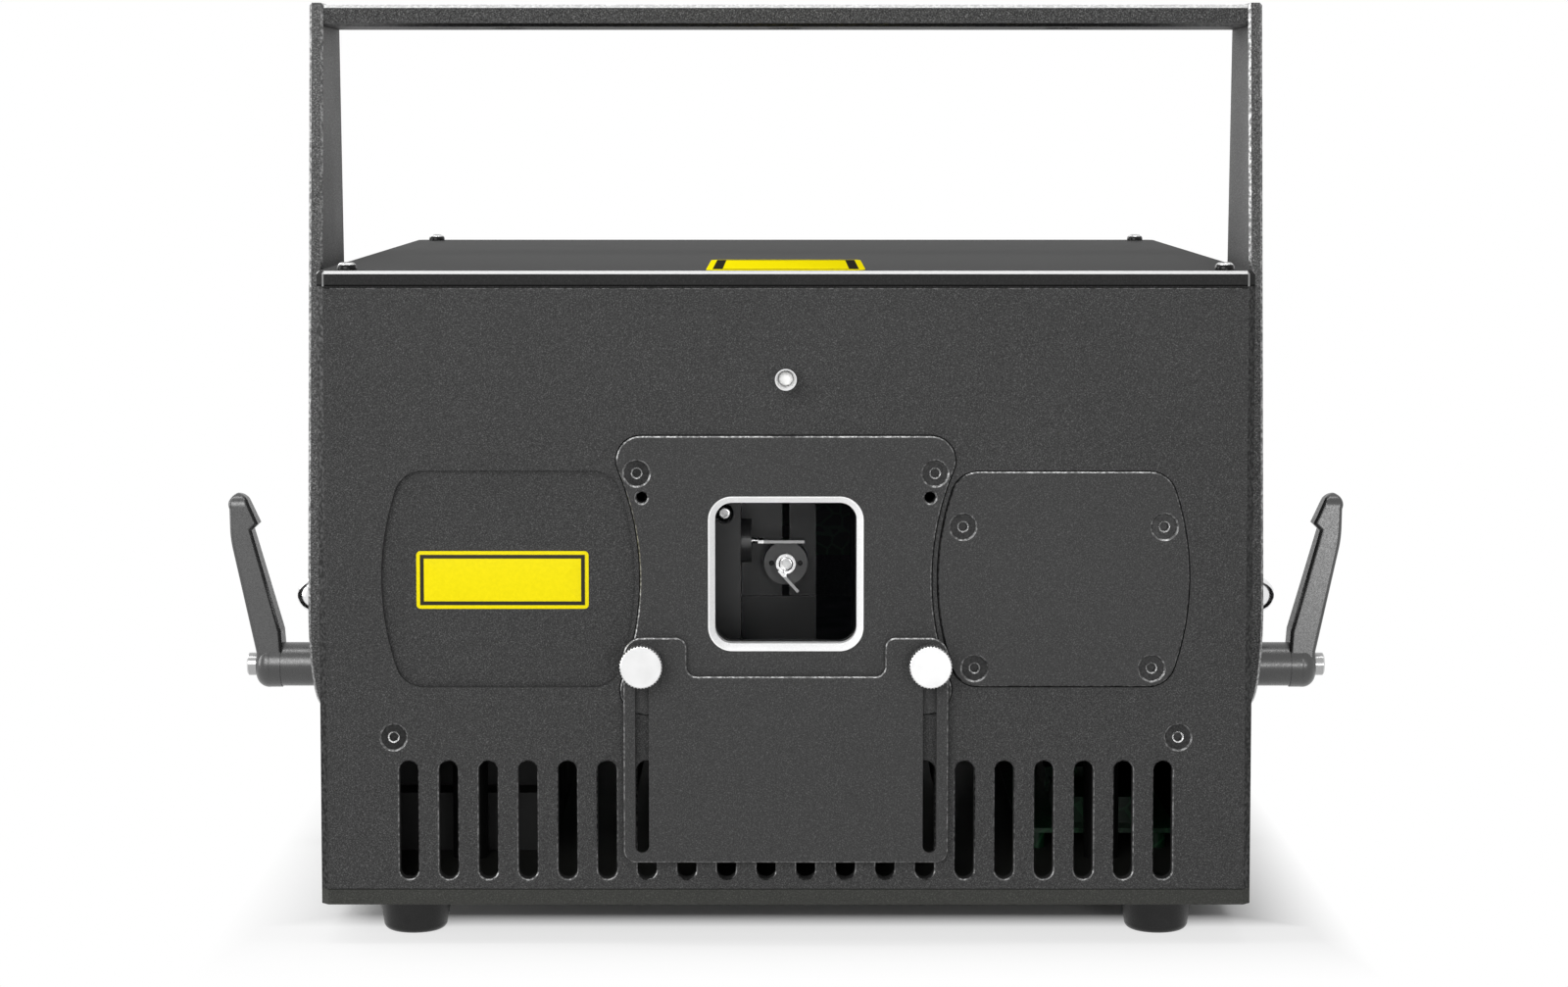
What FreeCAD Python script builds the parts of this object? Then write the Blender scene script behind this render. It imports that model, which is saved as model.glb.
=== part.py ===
"""Laser show projector: a plate housing on rubber feet, hung in a tilting yoke.

The row frame has +Z up, +X to the viewer's right and the beam leaving towards -Y. The origin is under the
middle of the whole part, on the surface that the feet stand on. All sizes are in millimetres.
"""
import FreeCAD, Part
import math
import os

# Housing plates
body_width = 305.0
body_depth = 310.0
wall_height = 198.0
base_thickness = 5.0
lid_thickness = 5.0
front_thickness = 5.0
side_thickness = 3.0
rear_thickness = 3.0
edge_bevel = 2.4
lid_bevel = 1.0
lid_break = 0.35
seam_depth = 0.8
seam_edge = 0.3
lid_seam = 0.5
base_seam = 0.3
post_size = 12.0

# Fits and cuts shared by all pieces
thread_gap = 0.05
seat_gap = 0.1
running_gap = 0.05
sliding_gap = 0.2
turning_gap = 0.3
hole_gap = 0.25
overrun = 2.0
match = 0.01

# Fasteners
screw_radius = 2.0
screw_grip = 9.0
flush_head_radius = 4.0
flush_drop = 0.55
button_radius = 3.2
button_height = 2.4
socket_flats = 2.5
socket_depth = 1.3
socket_mouth = 1.85
socket_bevel = 0.4

# Feet
foot_height = 13.1
foot_top_radius = 12.5
foot_tip_radius = 10.6
foot_inset_side = 28.5
foot_inset_end = 24.0
foot_recess_radius = 5.5
foot_recess_depth = 6.0
foot_edge = 2.4
pan_radius = 4.0
pan_height = 2.6

# Window in the front panel
window_height = 109.4
window_size = 50.6
window_corner = 7.8
window_bevel = 2.2
window_land = 0.3
window_flange = 2.0
window_flange_thickness = 1.4
glass_size = 54.0
glass_thickness = 2.0
glass_corner = 6.0
gasket_thickness = 1.0
gasket_width = 3.0
retainer_size = 68.0
retainer_thickness = 5.0

# Barrel-shaped pockets beside the window
barrel_height = 107.5
barrel_offset = 90.5
barrel_half_width = 41.0
barrel_half_height = 35.2
barrel_side_radius = 92.0
barrel_corner = 9.0
pocket_depth = 2.1
pocket_gap = 0.4
cover_thickness = 2.6
cover_edge = 0.4
cover_screw_upper_reach = 32.8
cover_screw_upper_rise = 17.2
cover_screw_lower_reach = 28.9
cover_screw_lower_drop = 29.2
service_width = 40.0
service_height = 30.0
service_corner = 4.0

# Aperture plate between the pockets
plate_thickness = 3.6
plate_land = 2.1
plate_top = 154.4
plate_bottom = 63.2
plate_corner = 8.0
plate_screw_reach = 48.5
plate_screw_height = 142.3
spare_hole_reach = 46.9
spare_hole_height = 134.4
spare_hole_radius = 1.8
spare_hole_bevel = 0.6

# Mask plate and its thumb screws
mask_thickness = 2.0
mask_half_width = 52.9
mask_travel = 59.7
mask_head = 8.5
mask_tail = 5.5
mask_slot_radius = 2.25
mask_end_gap = 0.3
mask_notch_half_width = 32.4
mask_notch_depth = 12.7
mask_shoulder_corner = 6.0
mask_foot_corner = 4.0
mask_notch_corner = 3.3
thumb_reach = 46.9
thumb_height = 80.2
thumb_radius = 7.0
thumb_head = 5.5
thumb_collar_radius = 4.5
thumb_collar = 2.5
thumb_teeth = 40
thumb_tooth_depth = 0.4
thumb_edge = 0.5
thumb_grip = 6.0

# Vent slots
vent_count = 20
vent_pitch = 13.0
vent_radius = 3.15
vent_length = 39.2
vent_height = 28.0
vent_edge = 0.4

# Emission lamp
lamp_height = 173.5
lamp_flange_radius = 4.05
lamp_flange = 1.2
lamp_reach = 11.5
lamp_nose_radius = 3.5
lamp_lip = 0.35
lamp_cup = 5.0
lamp_barrel_radius = 3.0
lamp_barrel = 9.0
lamp_bulb_radius = 2.3
lamp_bulb_drop = 4.0

# Yoke
pivot_inset = 155.0
pivot_height = 81.3
yoke_gap = 14.3
arm_thickness = 5.0
arm_disc_radius = 41.5
arm_top_half_width = 22.4
arm_rise = 217.9
arm_edge = 0.9
crossbar_thickness = 8.0
crossbar_drop = 0.6
crossbar_edge = 1.25
rig_hole_radius = 6.5
rig_hole_spacing = 203.0
yoke_screw_reach = 12.0
tilt_limit = 75.0
tilt_margin = 2.0

# Pivot and clamp
hub_radius = 38.0
hub_edge = 1.5
bolt_radius = 4.0
washer_radius = 9.2
washer_thickness = 1.6
dome_radius = 7.0
dome_skirt = 0.6
dome_height = 7.4
bolt_socket_flats = 5.0
bolt_socket_depth = 3.0
clamp_drop = 26.0
clamp_screw_radius = 4.0
lever_length = 64.0
lever_reach = 34.0
lever_neck_radius = 8.1
lever_neck = 15.0
lever_boss_radius = 8.5
lever_boss = 24.4
lever_boss_shoulder = 4.0
lever_boss_tip_radius = 5.0
lever_root_thickness = 14.0
lever_tip_thickness = 9.5
lever_edge = 1.4
lever_screw_end = 28.2
lever_screw_head_radius = 4.2
lever_screw_bevel = 0.5
lever_socket_flats = 4.0
lever_socket_depth = 2.5

# Optical deck
bench_thickness = 10.0
bench_height = 55.4
bench_side_gap = 0.5
bench_rear_gap = 5.0
bench_screw_inset = 24.2
bench_screw_grip = 14.0
pillar_radius = 6.0
pillar_gap = 4.0
beam_height = 100.5

# Scanner
scan_inset = 60.0
frame_axis_height = 104.3
line_axis_height = 113.0
galvo_radius = 7.5
galvo_body = 46.0
galvo_cap = 6.0
galvo_cap_radius = 6.0
galvo_shaft_radius = 1.5
shaft_grip = 10.0
frame_nose = 8.0
line_nose = 3.5
block_front_gap = 15.0
block_left = 48.0
block_inner = 15.3
block_right = 10.5
block_depth = 24.0
block_top = 142.0
block_step_height = 92.0
block_step = 2.0
clamp_slit = 2.5
block_screw_height = 124.0
block_screw_reach = 21.0
block_bore_radius = 3.5
block_bore_depth = 2.8
mirror_thickness = 1.0
first_mirror_length = 9.2
first_mirror_back = 0.7
first_mirror_drop = 2.6
first_mirror_width = 8.0
first_mirror_turn = 48.0
second_mirror_length = 14.0
second_mirror_width = 9.0
first_hub_radius = 3.4
first_hub = 2.6
second_hub_radius = 0.9
second_hub = 3.8
mirror_gap = 0.4

# Laser modules and beam combiner
laser_length = 60.0
laser_width = 34.0
laser_rise = 18.0
laser_edge = 2.0
laser_nozzle_radius = 7.0
laser_nozzle = 8.0
laser_exit_radius = 3.0
laser_exit_depth = 6.0
laser_flange = 6.0
laser_flange_thickness = 5.0
laser_row_gap = 4.0
lane_side_gap = 18.5
lane_nozzle_gap = 15.0
red_rear_gap = 15.0
red_mirror_gap = 18.0
mount_base = 26.0
mount_base_thickness = 8.0
mount_plate = 5.0
mount_plate_width = 24.0
mount_plate_rise = 13.0
mount_hole_radius = 7.0
optic_radius = 9.5
optic_thickness = 2.0

# Cooling and electronics on the lower deck
sink_width = 110.0
sink_inset = 62.0
sink_length = 170.0
sink_base = 6.0
sink_drop = 32.0
sink_fins = 14
sink_fin = 2.0
supply_width = 54.0
supply_height = 38.0
supply_inset = 62.0
supply_length = 170.0
supply_side_gap = 14.5
supply_ledge = 14.0
supply_ledge_height = 20.0
board_thickness = 1.6
board_standoff = 6.0
board_standoff_radius = 3.0
board_corner_inset = 6.0
chip_height = 9.0
chip_share = 0.22

# Fans
fan_size = 40.0
fan_depth = 15.0
fan_reach = 55.0
fan_height = 28.0
fan_bore = 19.0
fan_hub_radius = 8.5
fan_motor_thickness = 2.5
fan_strut = 3.0
fan_pin_radius = 1.5
fan_pin = 7.0
fan_blades = 7
fan_blade_thickness = 1.2
fan_blade_pitch = 38.0
fan_tip_gap = 0.8
fan_rotor_depth = 9.0
fan_corner = 3.0
guard_thickness = 1.5
guard_rings = 3
guard_bar = 1.5

# Rear sockets and switches
socket_row_height = 150.0
socket_pitch = 42.0
socket_flange_width = 26.0
socket_flange_height = 31.0
socket_flange = 2.0
socket_corner = 3.0
socket_barrel_radius = 11.5
socket_bore_radius = 9.0
socket_bore_depth = 10.0
socket_floor = 3.0
mains_bore_radius = 10.2
lower_row_height = 98.0
lower_reach = 84.0
signal_pitch = 58.0
signal_flange_width = 53.0
signal_flange_height = 12.6
signal_flange = 1.2
signal_half_width = 19.6
signal_half_height = 4.6
signal_slope = 0.9
signal_wall = 0.7
signal_shell = 6.0
signal_body = 9.0
signal_post_radius = 2.4
signal_post_reach = 23.5
fuse_cap_radius = 7.5
fuse_cap = 9.0
fuse_body_radius = 6.0
fuse_body = 14.0
fuse_slot = 1.6
fuse_slot_depth = 1.5
key_ring_radius = 11.0
key_ring = 4.0
key_body_radius = 9.5
key_body = 14.0
key_plug_radius = 6.0
key_plug_reach = 1.0
key_plug_depth = 9.0
key_slot_width = 1.8
key_slot_length = 8.0
key_slot_depth = 5.0
control_gap = 1.0
control_side_gap = 17.5
control_height = 90.0

# Outlines as hand-chosen shares of the sizes that they follow
# Lever seen from the front: out from the arm as a share of its reach, up as a share of its length.
lever_root_shares = ((0.43, 0.0), (0.71, 0.0), (0.716, 0.085), (0.961, 0.669))
lever_belly_shares = ((0.985, 0.74), (0.994, 0.8))
lever_tip_shares = ((1.0, 0.911), (0.982, 0.979), (0.913, 1.0), (0.855, 0.99), (0.805, 0.962))
lever_hook_shares = ((0.687, 0.824), (0.757, 0.787), (0.446, 0.2), (0.43, 0.085))
rear_column_shares = (-1.5, -0.5, 0.5, 1.5)
bulb_bow_share = 0.72
bulb_sag_share = 0.15
bulb_tip_share = 0.25
button_bow_shares = (0.85, 0.75)
dome_bow_share = 0.78
dome_rise_share = 0.65

# Places that follow from the sizes above
front_reach = (plate_thickness - pocket_depth + sliding_gap + mask_thickness + sliding_gap
               + thumb_collar + thumb_head)
rear_reach = max(fuse_cap, signal_flange + signal_shell, key_ring + key_plug_reach)
overall_depth = front_reach + body_depth + rear_reach
half_width = body_width / 2
front_y = front_reach - overall_depth / 2
rear_y = front_y + body_depth
inner_x = half_width - side_thickness
inner_front = front_y + front_thickness
inner_rear = rear_y - rear_thickness
base_z = foot_height
base_top = base_z + base_thickness
lid_z = base_top + wall_height
lid_top = lid_z + lid_thickness
post_x = inner_x - post_size / 2
post_rows = (inner_front + post_size / 2, inner_rear - post_size / 2)
plate_y = front_y - (plate_thickness - pocket_depth)
pocket_y = front_y + pocket_depth
cover_y = pocket_y - cover_thickness
mask_y = plate_y - sliding_gap - mask_thickness
window_z = base_z + window_height
barrel_z = base_z + barrel_height
thumb_z = base_z + thumb_height
mask_top = thumb_z + mask_head
mask_slot_low = thumb_z - mask_travel - mask_end_gap
lamp_z = base_z + lamp_height
pivot_y = front_y + pivot_inset
pivot_z = base_z + pivot_height
arm_x = half_width + yoke_gap
arm_outer = arm_x + arm_thickness
clamp_z = pivot_z - clamp_drop
bench_z = base_z + bench_height - bench_thickness / 2
bench_top = bench_z + bench_thickness
bench_rear = inner_rear - bench_rear_gap
beam_z = base_z + beam_height
scan_y = front_y + scan_inset
frame_axis_z = base_z + frame_axis_height
line_axis_z = base_z + line_axis_height
block_front = scan_y - block_front_gap
nose_y = block_front + block_front_gap * 2 - frame_nose
line_nose_x = line_nose - block_inner
fan_z = base_z + fan_height
row_z = base_z + socket_row_height
lower_row_z = base_z + lower_row_height
control_y = inner_rear - socket_bore_depth - socket_floor - control_gap - board_thickness
bench_screw_x = half_width - bench_screw_inset
supply_span = (inner_x - supply_side_gap - supply_width, inner_x - supply_side_gap)
supply_y = front_y + supply_inset
supply_end = supply_y + supply_length
beam_lane = inner_x - lane_side_gap - laser_flange - laser_width / 2
red_y = control_y - red_rear_gap - laser_length - laser_nozzle
green_y = red_y - red_mirror_gap
blue_y = green_y - laser_width - 2 * laser_flange - laser_row_gap
tapped_radius = screw_radius
shank_radius = screw_radius - thread_gap
clear_radius = screw_radius + hole_gap
flush_depth = flush_head_radius - screw_radius
glass_y = inner_front + gasket_thickness
window_throat = window_size - 2 * window_bevel
ORIGIN = FreeCAD.Vector(0, 0, 0)
AXES = {"x": FreeCAD.Vector(1, 0, 0), "y": FreeCAD.Vector(0, 1, 0), "z": FreeCAD.Vector(0, 0, 1)}


def vec(x, y, z):
    """Short name for a point or direction."""
    return FreeCAD.Vector(x, y, z)


def box(x_span, y_span, z_span):
    """Box between two coordinates along each axis."""
    low = vec(min(x_span), min(y_span), min(z_span))
    sizes = [max(span) - min(span) for span in (x_span, y_span, z_span)]
    return Part.makeBox(*sizes, low)


def rod(axis, radius, first, second, span):
    """Cylinder along an axis; first and second are its other two coordinates in X, Y, Z order."""
    start, end = min(span), max(span)
    spot = {"x": (start, first, second), "y": (first, start, second), "z": (first, second, start)}[axis]
    return Part.makeCylinder(radius, end - start, vec(*spot), AXES[axis])


def chain(points):
    """Closed wire through points; a pair of points is an arc's middle and its end."""
    edges = []
    here = points[0]
    for step in points[1:] + points[:1]:
        middle, end = step if isinstance(step, tuple) else (None, step)
        if middle:
            edges.append(Part.Arc(here, middle, end).toShape())
        elif not here.isEqual(end, match):
            edges.append(Part.makeLine(here, end))
        here = end
    return Part.Wire(edges)


def prism(points, sweep):
    """Solid swept straight from a closed outline."""
    return Part.Face(chain(points)).extrude(sweep)


def turned(outline, spot, direction):
    """Solid of revolution of (radius, height) corners, set at a spot with its height along a direction."""
    points = [tuple(vec(radius, 0, height) for radius, height in step) if isinstance(step[0], tuple)
              else vec(step[0], 0, step[1]) for step in outline]
    solid = Part.Face(chain(points)).revolve(ORIGIN, AXES["z"], 360)
    solid.Placement = FreeCAD.Placement(spot, FreeCAD.Rotation(AXES["z"], direction))
    return solid


def hexagon(flats, depth, spot, direction):
    """Hexagonal prism for a socket, from a spot along a direction."""
    corner = flats / math.sqrt(3)
    points = [vec(corner * math.cos(math.radians(60 * k)), corner * math.sin(math.radians(60 * k)), 0)
              for k in range(6)]
    solid = prism(points, vec(0, 0, depth))
    solid.Placement = FreeCAD.Placement(spot, FreeCAD.Rotation(AXES["z"], direction))
    return solid


def lines_along(shape, axis, spots=None):
    """Straight edges along an axis, all of them or those that stand at the given pairs of coordinates."""
    keep = [name for name in "xyz" if name != axis]
    found = []
    for edge in shape.Edges:
        if not isinstance(edge.Curve, Part.Line):
            continue
        low, high = edge.Vertexes[0].Point, edge.Vertexes[-1].Point
        if abs((high - low).normalize().dot(AXES[axis])) < 1 - match:
            continue
        here = [getattr(low, name) for name in keep]
        if spots is None or any(math.dist(here, spot) < match for spot in spots):
            found.append(edge)
    return found


def rim(shape, axis, level):
    """Edges that lie wholly in the plane at a level along an axis."""
    return [edge for edge in shape.Edges
            if all(abs(getattr(corner.Point, axis) - level) < match for corner in edge.Vertexes)
            and abs(getattr(edge.CenterOfMass, axis) - level) < match]


def face_loop(shape, axis, level):
    """The outer loop of the face in the plane at a level along an axis."""
    faces = [face for face in shape.Faces
             if isinstance(face.Surface, Part.Plane)
             and all(abs(getattr(corner.Point, axis) - level) < match for corner in face.Vertexes)]
    return max(faces, key=lambda face: face.Area).OuterWire


def cut(shape, tools):
    """Shape less every tool."""
    return shape.cut(list(tools))


def fuse(shapes):
    """One solid from shapes that meet."""
    return shapes[0].fuse(shapes[1:]).removeSplitter()


def mirrored(shape):
    """The same piece on the other side of the part."""
    return shape.mirror(ORIGIN, AXES["x"])


def both_sides(shape):
    """A piece and its mirror image."""
    return [shape, mirrored(shape)]


def slab(middle, width, height, corner, y_span):
    """Rounded rectangle in X and Z, swept along Y."""
    x, z = middle
    block = box((x - width / 2, x + width / 2), y_span, (z - height / 2, z + height / 2))
    return block.makeFillet(corner, lines_along(block, "y"))


def slot(x, z_span, radius, y_span):
    """Upright slot with round ends; z_span gives the centres of its ends."""
    shank = box((x - radius, x + radius), y_span, z_span)
    return fuse([shank] + [rod("y", radius, x, z, y_span) for z in z_span])


def barrel(x, growth, y_span):
    """Barrel outline with bowed sides and round corners, grown all round and swept along Y."""
    half_height = barrel_half_height + growth
    bow = barrel_half_width + growth
    radius = barrel_side_radius + growth
    end = bow - radius + math.sqrt(radius ** 2 - half_height ** 2)
    y = min(y_span)
    top, bottom = barrel_z + half_height, barrel_z - half_height
    points = [vec(x - end, y, top), vec(x + end, y, top),
              (vec(x + bow, y, barrel_z), vec(x + end, y, bottom)), vec(x - end, y, bottom),
              (vec(x - bow, y, barrel_z), vec(x - end, y, top))]
    solid = prism(points, vec(0, max(y_span) - y, 0))
    return solid.makeFillet(barrel_corner + growth, lines_along(solid, "y"))


def hourglass(growth, y_span):
    """Outline of the aperture plate: its sides follow the two barrels at a steady distance."""
    centre = barrel_offset - barrel_half_width + barrel_side_radius
    radius = barrel_side_radius + plate_land - growth
    top, bottom = base_z + plate_top + growth, base_z + plate_bottom - growth
    y = min(y_span)

    def side(z):
        return centre - math.sqrt(radius ** 2 - (z - barrel_z) ** 2)

    waist = side(barrel_z)
    points = [vec(-side(top), y, top), vec(side(top), y, top),
              (vec(waist, y, barrel_z), vec(side(bottom), y, bottom)), vec(-side(bottom), y, bottom),
              (vec(-waist, y, barrel_z), vec(-side(top), y, top))]
    solid = prism(points, vec(0, max(y_span) - y, 0))
    return solid.makeFillet(plate_corner + growth, lines_along(solid, "y"))


def flush_screw(spot, direction, length):
    """Countersunk screw with a hexagon socket, its head at the spot and its shank along the direction."""
    body = turned([(0, 0), (flush_head_radius, 0), (shank_radius, flush_head_radius - shank_radius),
                   (shank_radius, length), (0, length)], spot + direction * flush_drop, direction)
    mouth = turned([(0, 0), (socket_mouth, 0), (socket_mouth - socket_bevel, socket_bevel),
                    (0, socket_bevel)], spot + direction * flush_drop, direction)
    return cut(body, [hexagon(socket_flats, socket_depth + flush_drop, spot, direction), mouth])


def countersink(spot, direction, depth):
    """Cut for a countersunk screw through a plate of the given depth."""
    mouth = flush_head_radius + flush_drop + seat_gap
    return turned([(0, 0), (mouth, 0), (clear_radius, mouth - clear_radius),
                   (clear_radius, depth + overrun), (0, depth + overrun)], spot, direction)


def button_screw(spot, direction, length):
    """Dome-headed screw: the underside of its head at the spot, its shank along the direction."""
    top_radius = button_radius / 2
    skirt = button_height / 6
    bow = (button_radius * button_bow_shares[0], button_height * button_bow_shares[1])
    head = turned([(0, 0), (button_radius, 0), (button_radius, skirt), (bow, (top_radius, button_height)),
                   (0, button_height)], spot, -direction)
    head = head.cut(hexagon(socket_flats, socket_depth, spot - direction * button_height, direction))
    return head.fuse(turned([(0, 0), (shank_radius, 0), (shank_radius, length), (0, length)],
                            spot, direction)).removeSplitter()


def corner_spots():
    """Places of the four corner posts."""
    return [(side * post_x, y) for side in (-1, 1) for y in post_rows]


def foot_spots():
    """Places of the four feet."""
    rows = (front_y + foot_inset_end, rear_y - foot_inset_end)
    return [(side * (half_width - foot_inset_side), y) for side in (-1, 1) for y in rows]


def cover_screw_spots():
    """Places of the four screws in the service cover, as X and Z."""
    upper = [(barrel_offset + side * cover_screw_upper_reach, barrel_z + cover_screw_upper_rise)
             for side in (-1, 1)]
    lower = [(barrel_offset + side * cover_screw_lower_reach, barrel_z - cover_screw_lower_drop)
             for side in (-1, 1)]
    return upper + lower


def plate_screw_spots():
    """Places of the two screws that hold the aperture plate, as X and Z."""
    return [(side * plate_screw_reach, base_z + plate_screw_height) for side in (-1, 1)]


def socket_spots():
    """X places of the round sockets along the rear panel."""
    return [share * socket_pitch for share in rear_column_shares]


def base_plate():
    """Thick bottom plate with bevelled corners, countersunk below for the corner posts."""
    plate = box((-half_width, half_width), (front_y, rear_y), (base_z, base_top))
    plate = plate.makeChamfer(edge_bevel, lines_along(plate, "z"))
    tools = [countersink(vec(x, y, base_z), AXES["z"], base_thickness) for x, y in corner_spots()]
    through = (base_z - overrun, base_top + overrun)
    tools += [rod("z", tapped_radius, x, y, through) for x, y in foot_spots()]
    return cut(plate, tools)


def lid():
    """Top plate with bevelled corners, broken and bevelled edges and a clearance hole above each post."""
    plate = box((-half_width, half_width), (front_y, rear_y), (lid_z, lid_top))
    for bevel in (edge_bevel, lid_break):
        plate = plate.makeChamfer(bevel, lines_along(plate, "z"))
    plate = plate.makeChamfer(lid_bevel, rim(plate, "z", lid_top))
    return cut(plate, [rod("z", clear_radius, x, y, (lid_z - overrun, lid_top + overrun))
                       for x, y in corner_spots()])


def window_hole(y_span):
    """Cut that the window frame fits into."""
    size = window_size + 2 * seat_gap
    return slab((0, window_z), size, size, window_corner, y_span)


def front_panel():
    """Front wall with the vent slots, the pockets for the plates, the window and the screw holes."""
    panel = box((-half_width, half_width), (front_y, inner_front), (base_top, lid_z))
    corners = [(-half_width, front_y), (half_width, front_y)]
    panel = panel.makeChamfer(edge_bevel, lines_along(panel, "z", corners))
    through = (front_y - overrun, inner_front + overrun)
    pocket = (front_y - overrun, pocket_y)
    tools = [barrel(side * barrel_offset, pocket_gap, pocket) for side in (-1, 1)]
    tools.append(hourglass(pocket_gap, pocket))
    tools.append(window_hole(through))
    tools.append(slab((barrel_offset, barrel_z), service_width, service_height, service_corner, through))
    middle = base_z + vent_height
    reach = vent_length / 2 - vent_radius
    for k in range(vent_count):
        x = (k - (vent_count - 1) / 2) * vent_pitch
        tools.append(slot(x, (middle - reach, middle + reach), vent_radius, through))
    for x, z in cover_screw_spots() + plate_screw_spots():
        tools.append(rod("y", tapped_radius, x, z, through))
    for side in (-1, 1):
        tools.append(rod("y", screw_radius + running_gap, side * thumb_reach, thumb_z, through))
        tools.append(rod("y", spare_hole_radius, side * spare_hole_reach, base_z + spare_hole_height,
                         through))
        spot = vec(side * bench_screw_x, front_y, base_z + bench_height)
        tools.append(countersink(spot, AXES["y"], front_thickness))
    tools.append(rod("y", lamp_barrel_radius + seat_gap, 0, lamp_z, through))
    panel = cut(panel, tools + panel_seams())
    panel = panel.makeChamfer(seam_edge, lines_along(panel, "x", [(front_y, lid_z - lid_seam)]))
    low, high = middle - vent_length / 2, middle + vent_length / 2
    rims = [edge for edge in rim(panel, "y", front_y) if low - match < edge.CenterOfMass.z < high + match]
    inner = [edge for edge in rims if abs(edge.CenterOfMass.x) < half_width - edge_bevel - match]
    return panel.makeChamfer(vent_edge, inner)


def panel_seams():
    """Narrow rebates along the top and bottom of the front panel, which show as dark joints."""
    wide = (-half_width - overrun, half_width + overrun)
    deep = (front_y - overrun, front_y + seam_depth)
    return [box(wide, deep, span) for span in ((lid_z - lid_seam, lid_z + overrun),
                                               (base_top - overrun, base_top + base_seam))]


def side_wall():
    """Right side wall between the front and rear panels, bored for the pivot bolt."""
    wall = box((inner_x, half_width), (inner_front, inner_rear), (base_top, lid_z))
    through = (inner_x - overrun, half_width + overrun)
    return wall.cut(rod("x", bolt_radius + hole_gap, pivot_y, pivot_z, through))


def rear_panel():
    """Rear wall with the cut-outs for the fans, sockets and switches."""
    panel = box((-half_width, half_width), (inner_rear, rear_y), (base_top, lid_z))
    corners = [(-half_width, rear_y), (half_width, rear_y)]
    panel = panel.makeChamfer(edge_bevel, lines_along(panel, "z", corners))
    through = (inner_rear - overrun, rear_y + overrun)
    tools = [rod("y", fan_bore, side * fan_reach, fan_z, through) for side in (-1, 1)]
    tools += [rod("y", socket_barrel_radius + seat_gap, x, row_z, through) for x in socket_spots()]
    tools.append(rod("y", fuse_body_radius + seat_gap, -lower_reach, lower_row_z, through))
    tools.append(rod("y", key_body_radius + seat_gap, lower_reach, lower_row_z, through))
    tools += [signal_shell_prism(x, z, signal_wall, through) for x, z in signal_spots()]
    return cut(panel, tools)


def corner_posts():
    """Square posts that tie the base, the walls and the lid together, tapped at both ends."""
    posts = []
    for x, y in corner_spots():
        half = post_size / 2
        post = box((x - half, x + half), (y - half, y + half), (base_top, lid_z))
        depth = screw_grip + overrun
        posts.append(cut(post, [rod("z", tapped_radius, x, y, (lid_z - depth, lid_z)),
                                rod("z", tapped_radius, x, y, (base_top, base_top + depth))]))
    return posts


def lid_screws():
    """Dome-headed screws through the lid into the posts."""
    length = lid_thickness + screw_grip
    return [button_screw(vec(x, y, lid_top), -AXES["z"], length) for x, y in corner_spots()]


def underside_screws():
    """Flush screws into the posts from below, and the pan-headed screws that hold the feet."""
    length = base_thickness + screw_grip
    screws = [flush_screw(vec(x, y, base_z), AXES["z"], length) for x, y in corner_spots()]
    seat = base_z - foot_height + foot_recess_depth
    for x, y in foot_spots():
        head = rod("z", pan_radius, x, y, (seat - pan_height, seat))
        head = head.makeChamfer(pan_height / 4, rim(head, "z", seat - pan_height))
        screws.append(fuse([head, rod("z", shank_radius, x, y, (seat, base_top))]))
    return screws


def rubber_feet():
    """Tapered rubber feet with a round lower edge and a recess for the screw head."""
    soft = foot_edge * (1 - math.cos(math.pi / 4))
    feet = []
    for x, y in foot_spots():
        body = turned([(0, 0), (foot_tip_radius - foot_edge, 0),
                       ((foot_tip_radius - soft, soft), (foot_tip_radius, foot_edge)),
                       (foot_top_radius, foot_height), (0, foot_height)], vec(x, y, 0), AXES["z"])
        feet.append(cut(body, [rod("z", foot_recess_radius, x, y, (-overrun, foot_recess_depth)),
                               rod("z", screw_radius + seat_gap, x, y, (0, foot_height + overrun))]))
    return feet


def aperture_plate():
    """Plate round the window, with screw holes, spare tapped holes and a rebate for the frame's flange."""
    span = (plate_y, pocket_y)
    plate = hourglass(0, span)
    plate = plate.makeChamfer(cover_edge, face_loop(plate, "y", plate_y).Edges)
    through = (plate_y - overrun, pocket_y + overrun)
    tools = [window_hole(through)]
    rebate = window_size + 2 * window_flange + 2 * seat_gap
    tools.append(slab((0, window_z), rebate, rebate, window_corner,
                      (pocket_y - window_flange_thickness - seat_gap, pocket_y + overrun)))
    for x, z in plate_screw_spots():
        tools.append(countersink(vec(x, plate_y, z), AXES["y"], plate_thickness))
    for side in (-1, 1):
        x, z = side * spare_hole_reach, base_z + spare_hole_height
        tools.append(rod("y", spare_hole_radius, x, z, through))
        mouth = spare_hole_radius + spare_hole_bevel
        tools.append(Part.makeCone(mouth, spare_hole_radius, spare_hole_bevel, vec(x, plate_y, z), AXES["y"]))
        tools.append(rod("y", screw_radius + running_gap, side * thumb_reach, thumb_z, through))
    return cut(plate, tools)


def window_frame():
    """Bright frame that lines the window: bevelled mouth, straight throat and a flange behind the plate."""
    middle = (0, window_z)
    body = slab(middle, window_size, window_size, window_corner, (plate_y, inner_front))
    wide = window_size + 2 * window_flange
    flange = slab(middle, wide, wide, window_corner, (pocket_y - window_flange_thickness, pocket_y))
    corner = window_corner - window_bevel
    floor = plate_y + window_bevel
    throat = slab(middle, window_throat, window_throat, corner, (floor, inner_front + overrun))
    edge = window_size - 2 * window_land
    mouth = slab(middle, edge, edge, window_corner - window_land, (plate_y, plate_y + overrun))
    bevel = Part.makeLoft([face_loop(mouth, "y", plate_y), face_loop(throat, "y", floor)], True)
    return cut(fuse([body, flange]), [throat, bevel])


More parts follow.
